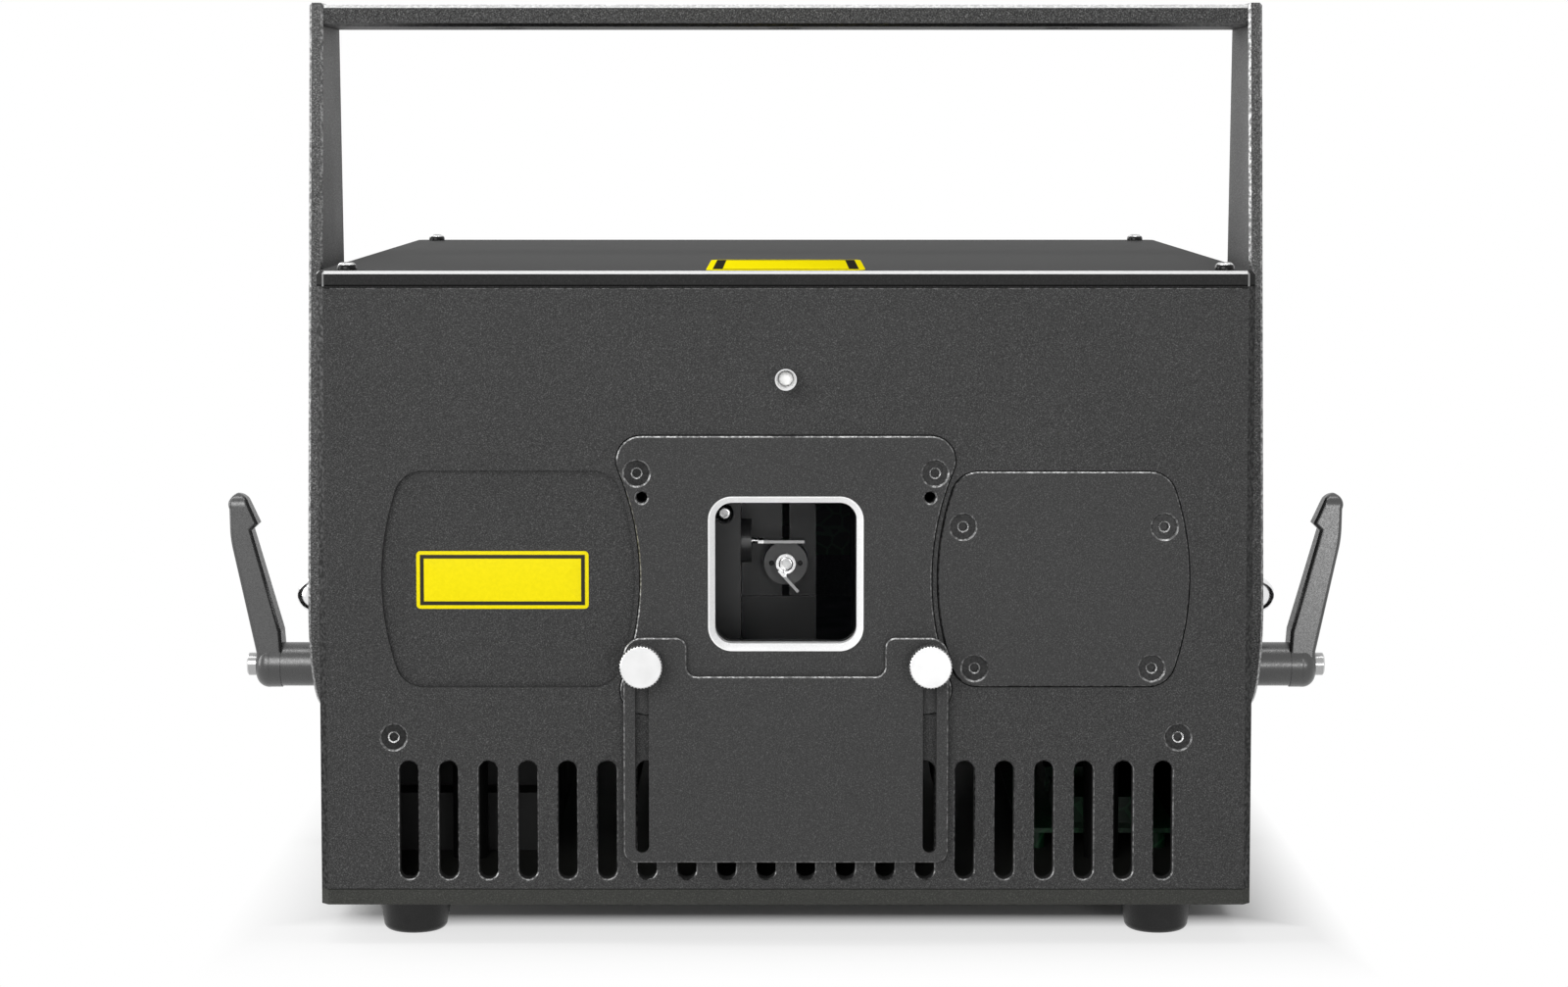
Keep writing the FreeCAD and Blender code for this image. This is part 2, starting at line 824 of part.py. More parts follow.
def window_gasket():
    """Rubber ring between the panel and the glass."""
    span = (inner_front, glass_y)
    ring = slab((0, window_z), glass_size, glass_size, glass_corner, span)
    inner = glass_size - 2 * gasket_width
    return ring.cut(slab((0, window_z), inner, inner, glass_corner - gasket_width, span))


def window_glass():
    """Pane behind the gasket."""
    return slab((0, window_z), glass_size, glass_size, glass_corner, (glass_y, glass_y + glass_thickness))


def window_retainer():
    """Inner frame that presses the glass and gasket to the front panel."""
    middle = (0, window_z)
    back = inner_front + retainer_thickness
    ring = slab(middle, retainer_size, retainer_size, glass_corner, (inner_front, back))
    nest = glass_size + 2 * seat_gap
    front = inner_front - overrun
    return cut(ring, [slab(middle, window_throat, window_throat, glass_corner, (front, back + overrun)),
                      slab(middle, nest, nest, glass_corner, (front, glass_y + glass_thickness))])


def service_cover():
    """Barrel-shaped cover in the right pocket."""
    cover = barrel(barrel_offset, 0, (cover_y, pocket_y))
    cover = cover.makeChamfer(cover_edge, face_loop(cover, "y", cover_y).Edges)
    return cut(cover, [countersink(vec(x, cover_y, z), AXES["y"], cover_thickness)
                       for x, z in cover_screw_spots()])


def flush_screws():
    """Countersunk screws of the service cover and the aperture plate."""
    screws = [flush_screw(vec(x, cover_y, z), AXES["y"], inner_front - cover_y - flush_drop)
              for x, z in cover_screw_spots()]
    return screws + [flush_screw(vec(x, plate_y, z), AXES["y"], inner_front - plate_y - flush_drop)
                     for x, z in plate_screw_spots()]


def bench_screws():
    """Countersunk screws through the front panel into the optical bench."""
    length = front_thickness + bench_screw_grip - flush_drop
    return [flush_screw(vec(side * bench_screw_x, front_y, base_z + bench_height), AXES["y"], length)
            for side in (-1, 1)]


def lamp_bezel():
    """Turned holder of the emission lamp: a tapered nose with a flared cup in its mouth."""
    bore = lamp_bulb_radius + seat_gap
    return turned([(bore, -lamp_barrel), (lamp_barrel_radius, -lamp_barrel), (lamp_barrel_radius, 0),
                   (lamp_flange_radius, 0), (lamp_flange_radius, lamp_flange), (lamp_nose_radius, lamp_reach),
                   (lamp_nose_radius - lamp_lip, lamp_reach), (bore, lamp_reach - lamp_cup)],
                  vec(0, front_y, lamp_z), -AXES["y"])


def emission_lamp():
    """Clear bulb in the holder."""
    crown = lamp_reach - lamp_bulb_drop
    shoulder = crown - lamp_bulb_radius / 2
    return turned([(0, -lamp_barrel), (lamp_bulb_radius, -lamp_barrel), (lamp_bulb_radius, shoulder),
                   ((lamp_bulb_radius * bulb_bow_share, crown - lamp_bulb_radius * bulb_sag_share),
                    (lamp_bulb_radius * bulb_tip_share, crown)), (0, crown)],
                  vec(0, front_y, lamp_z), -AXES["y"])


def mask_plate():
    """Sliding mask with a notch below the window and two slots for the thumb screws."""
    top, bottom = mask_top, mask_slot_low - mask_tail
    floor = top - mask_notch_depth
    half, notch = mask_half_width, mask_notch_half_width
    span = (mask_y, mask_y + mask_thickness)
    plate = box((-half, half), span, (bottom, top))
    plate = plate.cut(box((-notch, notch), (mask_y - overrun, plate_y + overrun), (floor, top + overrun)))
    rounds = [(mask_shoulder_corner, half, top), (mask_foot_corner, half, bottom),
              (mask_notch_corner, notch, top), (mask_notch_corner, notch, floor)]
    for radius, x, z in rounds:
        plate = plate.makeFillet(radius, lines_along(plate, "y", [(-x, z), (x, z)]))
    plate = plate.makeChamfer(cover_edge, face_loop(plate, "y", mask_y).Edges)
    ends = (mask_slot_low, thumb_z + mask_end_gap)
    through = (mask_y - overrun, plate_y + overrun)
    return cut(plate, [slot(side * thumb_reach, ends, mask_slot_radius, through) for side in (-1, 1)])


def thumb_screw(side):
    """Knurled thumb screw: a toothed head, a plain collar and a shank."""
    x = side * thumb_reach
    collar_y = mask_y - sliding_gap
    head_y = collar_y - thumb_collar
    face_y = head_y - thumb_head
    points = []
    for k in range(2 * thumb_teeth):
        radius = thumb_radius - thumb_tooth_depth * (k % 2)
        angle = math.pi * k / thumb_teeth
        points.append(vec(x + radius * math.cos(angle), face_y, thumb_z + radius * math.sin(angle)))
    head = prism(points, vec(0, thumb_head, 0))
    inner = thumb_radius - thumb_edge
    bevelled = turned([(0, 0), (inner, 0), (thumb_radius, thumb_edge),
                       (thumb_radius, thumb_head - thumb_edge), (inner, thumb_head), (0, thumb_head)],
                      vec(x, face_y, thumb_z), AXES["y"])
    head = head.common(bevelled)
    return fuse([head, rod("y", thumb_collar_radius, x, thumb_z, (head_y, collar_y)),
                 rod("y", screw_radius, x, thumb_z, (collar_y, plate_y + thumb_grip))])


def arc_slot():
    """Curved slot in the right arm that lets it tilt round the fixed clamp screw."""
    sweep = math.radians(tilt_limit + tilt_margin)
    half = clamp_screw_radius + turning_gap
    start = arm_x - overrun

    def place(radius, turn, along=0):
        return vec(start, pivot_y + radius * math.sin(turn) + along * math.cos(turn),
                   pivot_z - radius * math.cos(turn) + along * math.sin(turn))

    outer, inner = clamp_drop + half, clamp_drop - half
    points = [place(outer, -sweep), (place(outer, 0), place(outer, sweep)),
              (place(clamp_drop, sweep, half), place(inner, sweep)),
              (place(inner, 0), place(inner, -sweep)),
              (place(clamp_drop, -sweep, -half), place(outer, -sweep))]
    return prism(points, vec(arm_thickness + 2 * overrun, 0, 0))


def yoke_arm():
    """Right arm: a tapered plate whose round end turns on the pivot."""
    top = pivot_z + arm_rise
    length = math.hypot(arm_top_half_width, arm_rise)
    touch = math.atan2(arm_rise, arm_top_half_width) - math.acos(arm_disc_radius / length)
    reach, lift = arm_disc_radius * math.cos(touch), arm_disc_radius * math.sin(touch)
    points = [vec(arm_x, pivot_y - arm_top_half_width, top), vec(arm_x, pivot_y + arm_top_half_width, top),
              vec(arm_x, pivot_y + reach, pivot_z + lift),
              (vec(arm_x, pivot_y, pivot_z - arm_disc_radius), vec(arm_x, pivot_y - reach, pivot_z + lift))]
    arm = prism(points, vec(arm_thickness, 0, 0))
    for x in (arm_x, arm_outer):
        arm = arm.makeChamfer(arm_edge, face_loop(arm, "x", x).Edges)
    through = (arm_x - overrun, arm_outer + overrun)
    tools = [arc_slot(), rod("x", bolt_radius + running_gap, pivot_y, pivot_z, through)]
    for y, z in yoke_screw_spots():
        tools.append(countersink(vec(arm_outer, y, z), -AXES["x"], arm_thickness))
    return cut(arm, tools)


def yoke_screw_spots():
    """Places of the screws that join an arm to the crossbar, as Y and Z."""
    z = pivot_z + arm_rise - crossbar_drop - crossbar_thickness / 2
    return [(pivot_y + side * yoke_screw_reach, z) for side in (-1, 1)]


def yoke_crossbar():
    """Bar between the arms with three rigging holes, tapped in its ends."""
    top = pivot_z + arm_rise - crossbar_drop
    half = arm_top_half_width - arm_edge
    bar = box((-arm_x, arm_x), (pivot_y - half, pivot_y + half), (top - crossbar_thickness, top))
    bar = bar.makeChamfer(crossbar_edge, lines_along(bar, "x"))
    through = (top - crossbar_thickness - overrun, top + overrun)
    places = (-rig_hole_spacing / 2, 0, rig_hole_spacing / 2)
    tools = [rod("z", rig_hole_radius, x, pivot_y, through) for x in places]
    depth = screw_grip + overrun
    for y, z in yoke_screw_spots():
        tools.append(rod("x", tapped_radius, y, z, (arm_x - depth, arm_x + overrun)))
        tools.append(rod("x", tapped_radius, y, z, (-arm_x - overrun, depth - arm_x)))
    return cut(bar, tools)


def yoke_screws():
    """Countersunk screws from the arms into the crossbar."""
    screws = []
    for y, z in yoke_screw_spots():
        screws += both_sides(flush_screw(vec(arm_outer, y, z), -AXES["x"], arm_thickness + screw_grip))
    return screws


def pivot_hub():
    """Right spacer disc on the side wall; the bolt and the clamp screw are held in it."""
    face = arm_x - turning_gap
    depth = face - half_width
    disc = turned([(0, 0), (hub_radius, 0), (hub_radius, depth - hub_edge),
                   (hub_radius - hub_edge, depth), (0, depth)],
                  vec(half_width, pivot_y, pivot_z), AXES["x"])
    through = (half_width - overrun, face + overrun)
    return cut(disc, [rod("x", bolt_radius + thread_gap, pivot_y, pivot_z, through),
                      rod("x", clamp_screw_radius + running_gap, pivot_y, clamp_z, through)])


def pivot_washer():
    """Right washer under the pivot bolt's head."""
    start = arm_outer + turning_gap
    ring = rod("x", washer_radius, pivot_y, pivot_z, (start, start + washer_thickness))
    return ring.cut(rod("x", bolt_radius + seat_gap, pivot_y, pivot_z, (start, start + washer_thickness)))


def pivot_bolt():
    """Right pivot bolt with a domed head."""
    seat = arm_outer + turning_gap + washer_thickness
    bow = (dome_radius * dome_bow_share, dome_height * dome_rise_share)
    head = turned([(0, 0), (dome_radius, 0), (dome_radius, dome_skirt),
                   (bow, (dome_radius / 3, dome_height)), (0, dome_height)],
                  vec(seat, pivot_y, pivot_z), AXES["x"])
    top = vec(seat + dome_height, pivot_y, pivot_z)
    head = head.cut(hexagon(bolt_socket_flats, bolt_socket_depth, top, -AXES["x"]))
    return fuse([head, rod("x", bolt_radius, pivot_y, pivot_z, (inner_x, seat))])


def lever_point(shares):
    """Point on the right clamp lever's outline from its shares of reach and length."""
    out, up = shares
    front = pivot_y - lever_root_thickness / 2
    return vec(arm_outer + out * lever_reach, front, clamp_z + up * lever_length)


def lever_arm():
    """Leaning arm of the right clamp lever: it thins towards its tip and its long edges are rounded."""
    points = [lever_point(shares) for shares in lever_root_shares]
    points.append(tuple(lever_point(shares) for shares in lever_belly_shares))
    points.append(lever_point(lever_tip_shares[0]))
    points.append(tuple(lever_point(shares) for shares in lever_tip_shares[1:3]))
    points.append(tuple(lever_point(shares) for shares in lever_tip_shares[3:5]))
    points += [lever_point(shares) for shares in lever_hook_shares]
    arm = prism(points, vec(0, lever_root_thickness, 0))
    root, tip = lever_root_thickness / 2, lever_tip_thickness / 2
    crown = clamp_z + lever_length
    low = arm_outer - overrun
    side = prism([vec(low, pivot_y - root, clamp_z), vec(low, pivot_y - tip, crown - tip),
                  (vec(low, pivot_y, crown), vec(low, pivot_y + tip, crown - tip)),
                  vec(low, pivot_y + root, clamp_z)],
                 vec(lever_reach + 2 * overrun, 0, 0))
    arm = arm.common(side)
    broad = [face for face in arm.Faces
             if isinstance(face.Surface, Part.Plane) and abs(face.normalAt(0, 0).y) > math.cos(math.pi / 4)]
    return arm.makeFillet(lever_edge, [edge for face in broad for edge in face.OuterWire.Edges])


def clamp_lever():
    """Right clamp lever: a turned boss with a round shoulder, and the leaning arm."""
    start = arm_outer + turning_gap
    shoulder = lever_neck + lever_boss_shoulder
    bend = math.cos(math.pi / 4)
    bow = (lever_boss_tip_radius + (lever_boss_radius - lever_boss_tip_radius) * bend,
           shoulder + (lever_boss - shoulder) * bend)
    boss = turned([(0, 0), (lever_neck_radius, 0), (lever_neck_radius, lever_neck),
                   (lever_boss_radius, lever_neck), (lever_boss_radius, shoulder),
                   (bow, (lever_boss_tip_radius, lever_boss)), (0, lever_boss)],
                  vec(start, pivot_y, clamp_z), AXES["x"])
    body = fuse([boss, lever_arm()])
    through = (arm_outer, start + lever_boss + overrun)
    return body.cut(rod("x", clamp_screw_radius + seat_gap, pivot_y, clamp_z, through))


def lever_screw():
    """Right clamp screw: fixed in the lever, through the arm's curved slot into the hub."""
    start = half_width + hub_edge
    boss = arm_outer + turning_gap + lever_boss
    end = arm_outer + lever_screw_end
    head = rod("x", lever_screw_head_radius, pivot_y, clamp_z, (boss, end))
    head = head.makeChamfer(lever_screw_bevel, rim(head, "x", end))
    head = head.cut(hexagon(lever_socket_flats, lever_socket_depth, vec(end, pivot_y, clamp_z), -AXES["x"]))
    return fuse([rod("x", clamp_screw_radius, pivot_y, clamp_z, (start, boss)), head])


def optical_bench():
    """Thick plate that carries the optics and divides the upper deck from the cooled lower deck."""
    reach = post_x - post_size / 2 - bench_side_gap
    plate = box((-reach, reach), (inner_front, bench_rear), (bench_z, bench_top))
    depth = bench_screw_grip + overrun
    return cut(plate, [rod("y", tapped_radius, side * bench_screw_x, base_z + bench_height,
                           (inner_front - overrun, inner_front + depth)) for side in (-1, 1)])


def bench_pillars():
    """Round pillars from the base plate to the bench, at the ends of the supply and the driver board."""
    x = sum(supply_span) / 2
    clear = pillar_gap + pillar_radius
    rows = (supply_y - clear, supply_end + clear)
    return [rod("z", pillar_radius, side * x, y, (base_top, bench_z)) for side in (-1, 1) for y in rows]


def heat_sink():
    """Finned sink under the bench, its fins along the air flow."""
    span = (front_y + sink_inset, front_y + sink_inset + sink_length)
    half = sink_width / 2
    solids = [box((-half, half), span, (bench_z - sink_base, bench_z))]
    pitch = (sink_width - sink_fin) / (sink_fins - 1)
    for k in range(sink_fins):
        x = k * pitch - half
        solids.append(box((x, x + sink_fin), span, (bench_z - sink_drop, bench_z - sink_base)))
    return fuse(solids)


def power_supply():
    """Closed supply on the base plate with a lower ledge for its terminals."""
    x_span = [-x for x in supply_span]
    step = supply_y + supply_ledge
    case = box(x_span, (step, supply_end), (base_top, base_top + supply_height))
    case = case.makeChamfer(laser_edge, rim(case, "z", base_top + supply_height))
    return fuse([case, box(x_span, (supply_y, step), (base_top, base_top + supply_ledge_height))])


def driver_board():
    """Driver board on four standoffs over the base plate, with a row of power parts."""
    low = base_top + board_standoff
    top = low + board_thickness
    solids = [box(supply_span, (supply_y, supply_end), (low, top))]
    for x in (supply_span[0] + board_corner_inset, supply_span[1] - board_corner_inset):
        for y in (supply_y + board_corner_inset, supply_end - board_corner_inset):
            solids.append(rod("z", board_standoff_radius, x, y, (base_top, low)))
    size = supply_length * chip_share
    for k in range(3):
        y = supply_y + supply_length * (2 * k + 1) / 6
        x = sum(supply_span) / 2
        solids.append(box((x - supply_width / 4, x + supply_width / 4), (y - size / 2, y + size / 2),
                          (top, top + chip_height)))
    return fuse(solids)


def control_board():
    """Upright board behind the sockets, on four spacers from the rear panel."""
    middle = (row_z + lower_row_z) / 2
    half = post_x - post_size / 2 - control_side_gap
    x_span = (-half, half)
    z_span = (middle - control_height / 2, middle + control_height / 2)
    solids = [box(x_span, (control_y, control_y + board_thickness), z_span)]
    for x in (x_span[0] + board_corner_inset, x_span[1] - board_corner_inset):
        for z in (z_span[0] + board_corner_inset, z_span[1] - board_corner_inset):
            solids.append(rod("y", board_standoff_radius, x, z, (control_y + board_thickness, inner_rear)))
    return fuse(solids)


def laser_module(x, y, turn):
    """Laser module whose beam leaves the end of its nozzle at X and Y, turned about the vertical from +X."""
    back = x - laser_nozzle
    length = (back - laser_length, back)
    half = laser_width / 2
    case = box(length, (y - half, y + half), (bench_top, beam_z + laser_rise))
    case = case.makeChamfer(laser_edge, lines_along(case, "x"))
    wide = half + laser_flange
    flange = box(length, (y - wide, y + wide), (bench_top, bench_top + laser_flange_thickness))
    body = fuse([case, flange, rod("x", laser_nozzle_radius, y, beam_z, (back, x))])
    body = body.cut(rod("x", laser_exit_radius, y, beam_z, (x - laser_exit_depth, x + overrun)))
    body.rotate(vec(x, y, beam_z), AXES["z"], turn)
    return body


def combiner_spots():
    """Places of the three upright optics as X, Y and the turn of their face about the vertical."""
    return [(beam_lane, green_y, 225), (beam_lane, blue_y, 225), (beam_lane, scan_y, 135)]


def combiner_mounts():
    """Upright holders that carry the mirrors at half a right angle to the beam."""
    mounts = []
    for x, y, turn in combiner_spots():
        foot = rod("z", mount_base / 2, x, y, (bench_top, bench_top + mount_base_thickness))
        half = mount_plate_width / 2
        plate = box((x - mount_plate, x), (y - half, y + half),
                    (bench_top + mount_base_thickness, beam_z + mount_plate_rise))
        plate = plate.cut(rod("x", mount_hole_radius, y, beam_z, (x - mount_plate - overrun, x + overrun)))
        plate.rotate(vec(x, y, 0), AXES["z"], turn)
        mounts.append(fuse([foot, plate]))
    return mounts


def combiner_mirrors():
    """Round mirror discs on the holders."""
    discs = []
    for x, y, turn in combiner_spots():
        disc = rod("x", optic_radius, y, beam_z, (x, x + optic_thickness))
        disc.rotate(vec(x, y, 0), AXES["z"], turn)
        discs.append(disc)
    return discs


def scanner_block():
    """Angled block that holds the two galvanometers at right angles, with clamp slits."""
    top = base_z + block_top
    corner = block_front + 2 * block_front_gap
    back = corner + block_depth
    step = base_z + block_step_height
    solids = [box((-block_left, -block_inner), (block_front, corner), (bench_top, top)),
              box((-block_left, block_right), (corner, back), (bench_top, top)),
              box((-block_inner, block_right), (corner - block_step, corner), (bench_top, step))]
    through = (corner - overrun, back + overrun)
    half = clamp_slit / 2
    bore = galvo_radius + seat_gap
    tools = [rod("y", bore, 0, frame_axis_z, through),
             box((-half, half), through, (step, top + overrun)),
             rod("x", bore, scan_y, line_axis_z, (-block_left - overrun, overrun - block_inner)),
             rod("y", block_bore_radius, -block_screw_reach, base_z + block_screw_height,
                 (block_front - overrun, block_front + block_bore_depth))]
    return cut(fuse(solids), tools)


def frame_galvo():
    """Galvanometer along Y with a bore for its shaft."""
    end = nose_y + galvo_body
    body = fuse([rod("y", galvo_radius, 0, frame_axis_z, (nose_y, end)),
                 rod("y", galvo_cap_radius, 0, frame_axis_z, (end, end + galvo_cap))])
    return body.cut(rod("y", galvo_shaft_radius + running_gap, 0, frame_axis_z,
                        (nose_y - overrun, nose_y + shaft_grip)))


def line_galvo():
    """Galvanometer along X with a bore for its shaft."""
    end = line_nose_x - galvo_body
    body = fuse([rod("x", galvo_radius, scan_y, line_axis_z, (end, line_nose_x)),
                 rod("x", galvo_cap_radius, scan_y, line_axis_z, (end - galvo_cap, end))])
    return body.cut(rod("x", galvo_shaft_radius + running_gap, scan_y, line_axis_z,
                        (line_nose_x - shaft_grip, line_nose_x + overrun)))


def first_mirror():
    """Mirror on the shaft of the galvanometer along Y, leaning down to the right."""
    face = nose_y - mirror_gap
    half = mirror_thickness / 2
    level = frame_axis_z - first_mirror_drop
    blade = box((-first_mirror_back, first_mirror_length), (scan_y - first_mirror_width / 2, face),
                (level - half, level + half))
    blade.rotate(vec(0, scan_y, frame_axis_z), AXES["y"], first_mirror_turn)
    hub = rod("y", first_hub_radius, 0, frame_axis_z, (face - first_hub, face))
    shaft = rod("y", galvo_shaft_radius, 0, frame_axis_z, (face, nose_y + shaft_grip - overrun))
    return fuse([hub, shaft, blade])


def second_mirror():
    """Mirror on the shaft of the galvanometer along X, parked level."""
    face = line_nose_x + mirror_gap
    half = mirror_thickness / 2
    wide = second_mirror_width / 2
    end = face + second_hub + second_mirror_length
    blade = box((face + second_hub / 2, end), (scan_y - wide, scan_y + wide),
                (line_axis_z - half, line_axis_z + half))
    hub = rod("x", second_hub_radius, scan_y, line_axis_z, (face, face + second_hub))
    shaft = rod("x", galvo_shaft_radius, scan_y, line_axis_z, (line_nose_x - shaft_grip + overrun, face))
    return fuse([hub, shaft, blade])


def fan_frame(x):
    """Square fan housing with a motor plate on three struts and a bearing pin."""
    front = inner_rear - fan_depth
    case = slab((x, fan_z), fan_size, fan_size, fan_corner, (front, inner_rear))
    case = case.cut(rod("y", fan_bore, x, fan_z, (front - overrun, inner_rear + overrun)))
    motor_end = front + fan_motor_thickness
    solids = [case, rod("y", fan_hub_radius, x, fan_z, (front, motor_end)),
              rod("y", fan_pin_radius, x, fan_z, (motor_end, motor_end + fan_pin))]
    half = fan_strut / 2
    for k in range(3):
        strut = box((x - half, x + half), (front, motor_end), (fan_z, fan_z + fan_bore + seat_gap))
        strut.rotate(vec(x, front, fan_z), AXES["y"], 120 * k)
        solids.append(strut)
    return fuse(solids)


def fan_rotor(x):
    """Fan wheel: a hub with pitched blades."""
    start = inner_rear - fan_depth + fan_motor_thickness + turning_gap
    end = start + fan_rotor_depth
    solids = [rod("y", fan_hub_radius, x, fan_z, (start, end))]
    middle = (start + end) / 2
    chord = fan_rotor_depth - turning_gap
    half = fan_blade_thickness / 2
    for k in range(fan_blades):
        blade = box((x - half, x + half), (middle - chord / 2, middle + chord / 2),
                    (fan_z + fan_hub_radius / 2, fan_z + fan_bore - fan_tip_gap - half))
        blade.rotate(vec(x, middle, fan_z), AXES["z"], fan_blade_pitch)
        blade.rotate(vec(x, middle, fan_z), AXES["y"], 360 * k / fan_blades)
        solids.append(blade)
    limit = rod("y", fan_bore - fan_tip_gap, x, fan_z, (start, end))
    wheel = fuse(solids).common(limit)
    return wheel.cut(rod("y", fan_pin_radius + running_gap, x, fan_z, (start - overrun, start + fan_pin)))


def fan_guard(x):
    """Flat finger guard of rings and crossed bars over a fan opening."""
    span = (rear_y, rear_y + guard_thickness)
    outer = fan_bore + 2 * guard_bar
    solids = []
    for k in range(guard_rings):
        radius = outer * (k + 1) / guard_rings
        solids.append(rod("y", radius, x, fan_z, span).cut(rod("y", radius - guard_bar, x, fan_z, span)))
    for turn in (45, 135):
        bar = box((x - outer + guard_bar / 2, x + outer - guard_bar / 2), span,
                  (fan_z - guard_bar / 2, fan_z + guard_bar / 2))
        bar.rotate(vec(x, rear_y, fan_z), AXES["y"], turn)
        solids.append(bar)
    return fuse(solids)


def round_socket(x, bore):
    """Panel socket with a rectangular flange and a round open well."""
    outer = rear_y + socket_flange
    floor = outer - socket_bore_depth
    flange = slab((x, row_z), socket_flange_width, socket_flange_height, socket_corner, (rear_y, outer))
    body = fuse([flange, rod("y", socket_barrel_radius, x, row_z, (floor - socket_floor, rear_y))])
    return body.cut(rod("y", bore, x, row_z, (floor, outer + overrun)))


def signal_spots():
    """Places of the two signal sockets on the rear panel, as X and Z."""
    return [(side * signal_pitch / 2, lower_row_z) for side in (-1, 1)]


def signal_shell_prism(x, z, inset, y_span):
    """Shell outline of a signal socket: a flat shape narrower below than above."""
    half, tall = signal_half_width - inset, signal_half_height - inset
    y = min(y_span)
    points = [vec(x - half, y, z + tall), vec(x + half, y, z + tall),
              vec(x + half - 2 * signal_slope, y, z - tall), vec(x - half + 2 * signal_slope, y, z - tall)]
    return prism(points, vec(0, max(y_span) - y, 0))


def signal_sockets():
    """Pair of flat signal sockets with open shells and two posts each."""
    sockets = []
    outer = rear_y + signal_flange
    end = outer + signal_shell
    for x, z in signal_spots():
        solids = [slab((x, z), signal_flange_width, signal_flange_height, socket_corner, (rear_y, outer)),
                  signal_shell_prism(x, z, 0, (outer, end)),
                  signal_shell_prism(x, z, signal_wall + signal_slope, (rear_y - signal_body, rear_y))]
        posts = (outer, outer + signal_shell / 2)
        solids += [rod("y", signal_post_radius, x + side * signal_post_reach, z, posts) for side in (-1, 1)]
        sockets.append(fuse(solids).cut(signal_shell_prism(x, z, signal_wall, (outer, end + overrun))))
    return sockets


def fuse_holder():
    """Screw cap and body of the fuse holder."""
    end = rear_y + fuse_cap
    cap = rod("y", fuse_cap_radius, -lower_reach, lower_row_z, (rear_y, end))
    cap = cap.makeChamfer(fuse_slot / 2, rim(cap, "y", end))
    cap = cap.cut(box((-lower_reach - fuse_cap_radius, fuse_cap_radius - lower_reach),
                      (end - fuse_slot_depth, end),
                      (lower_row_z - fuse_slot / 2, lower_row_z + fuse_slot / 2)))
    return fuse([cap, rod("y", fuse_body_radius, -lower_reach, lower_row_z, (rear_y - fuse_body, rear_y))])


def key_switch():
    """Ring and body of the key switch, bored for its plug."""
    end = rear_y + key_ring
    ring = rod("y", key_ring_radius, lower_reach, lower_row_z, (rear_y, end))
    ring = ring.makeChamfer(key_ring / 4, rim(ring, "y", end))
    body = fuse([ring, rod("y", key_body_radius, lower_reach, lower_row_z, (rear_y - key_body, rear_y))])
    return body.cut(rod("y", key_plug_radius + running_gap, lower_reach, lower_row_z,
                        (end - key_plug_depth, end + overrun)))


def key_plug():
    """Turning plug of the key switch with its key slot."""
    end = rear_y + key_ring + key_plug_reach
    start = rear_y + key_ring - key_plug_depth + turning_gap
    plug = rod("y", key_plug_radius, lower_reach, lower_row_z, (start, end))
    half = key_slot_width / 2
    tall = key_slot_length / 2
    return plug.cut(box((lower_reach - half, lower_reach + half), (end - key_slot_depth, end + overrun),
                        (lower_row_z - tall, lower_row_z + tall)))


def sub_parts():
    """Every sub-part by name; a list is a group of like pieces."""
    wall, arm = side_wall(), yoke_arm()
    lever, stud = clamp_lever(), lever_screw()
    columns = socket_spots()
    lane = beam_lane - lane_nozzle_gap
    return {
        "base_plate": base_plate(),
        "lid": lid(),
        "front_panel": front_panel(),
        "left_side_wall": mirrored(wall),
        "right_side_wall": wall,
        "rear_panel": rear_panel(),
        "corner_posts": corner_posts(),
        "lid_screws": lid_screws(),
        "underside_screws": underside_screws(),
        "rubber_feet": rubber_feet(),
        "aperture_plate": aperture_plate(),
        "window_frame": window_frame(),
        "window_gasket": window_gasket(),
        "window_glass": window_glass(),
        "window_retainer": window_retainer(),
        "service_cover": service_cover(),
        "flush_screws": flush_screws(),
        "bench_screws": bench_screws(),
        "lamp_bezel": lamp_bezel(),
        "emission_lamp": emission_lamp(),
        "mask_plate": mask_plate(),
        "left_thumb_screw": thumb_screw(-1),
        "right_thumb_screw": thumb_screw(1),
        "yoke_left_arm": mirrored(arm),
        "yoke_right_arm": arm,
        "yoke_crossbar": yoke_crossbar(),
        "yoke_screws": yoke_screws(),
        "pivot_hubs": both_sides(pivot_hub()),
        "pivot_washers": both_sides(pivot_washer()),
        "pivot_bolts": both_sides(pivot_bolt()),
        "left_clamp_lever": mirrored(lever),
        "right_clamp_lever": lever,
        "left_lever_screw": mirrored(stud),
        "right_lever_screw": stud,
        "optical_bench": optical_bench(),
        "bench_pillars": bench_pillars(),
        "heat_sink": heat_sink(),
        "power_supply": power_supply(),
        "driver_board": driver_board(),
        "control_board": control_board(),
        "red_laser": laser_module(beam_lane, red_y, -90),
        "green_laser": laser_module(lane, green_y, 0),
        "blue_laser": laser_module(lane, blue_y, 0),
        "combiner_mounts": combiner_mounts(),
        "combiner_mirrors": combiner_mirrors(),
        "scanner_block": scanner_block(),
        "frame_galvo": frame_galvo(),
        "line_galvo": line_galvo(),
        "first_mirror": first_mirror(),
        "second_mirror": second_mirror(),
        "fan_frames": [fan_frame(side * fan_reach) for side in (-1, 1)],
        "left_fan_rotor": fan_rotor(-fan_reach),
        "right_fan_rotor": fan_rotor(fan_reach),
        "fan_guards": [fan_guard(side * fan_reach) for side in (-1, 1)],
        "mains_inlet": round_socket(columns[0], mains_bore_radius),
        "round_sockets": [round_socket(x, socket_bore_radius) for x in columns[1:]],
        "signal_sockets": signal_sockets(),
        "fuse_holder": fuse_holder(),
        "key_switch": key_switch(),
        "key_plug": key_plug(),
    }


def main():
    """Write one file for each sub-part."""
    os.makedirs("parts", exist_ok=True)
    for name, shape in sub_parts().items():
        if isinstance(shape, list):
            shape = Part.makeCompound(shape)
        shape.exportStep(f"parts/{name}.step")


main()
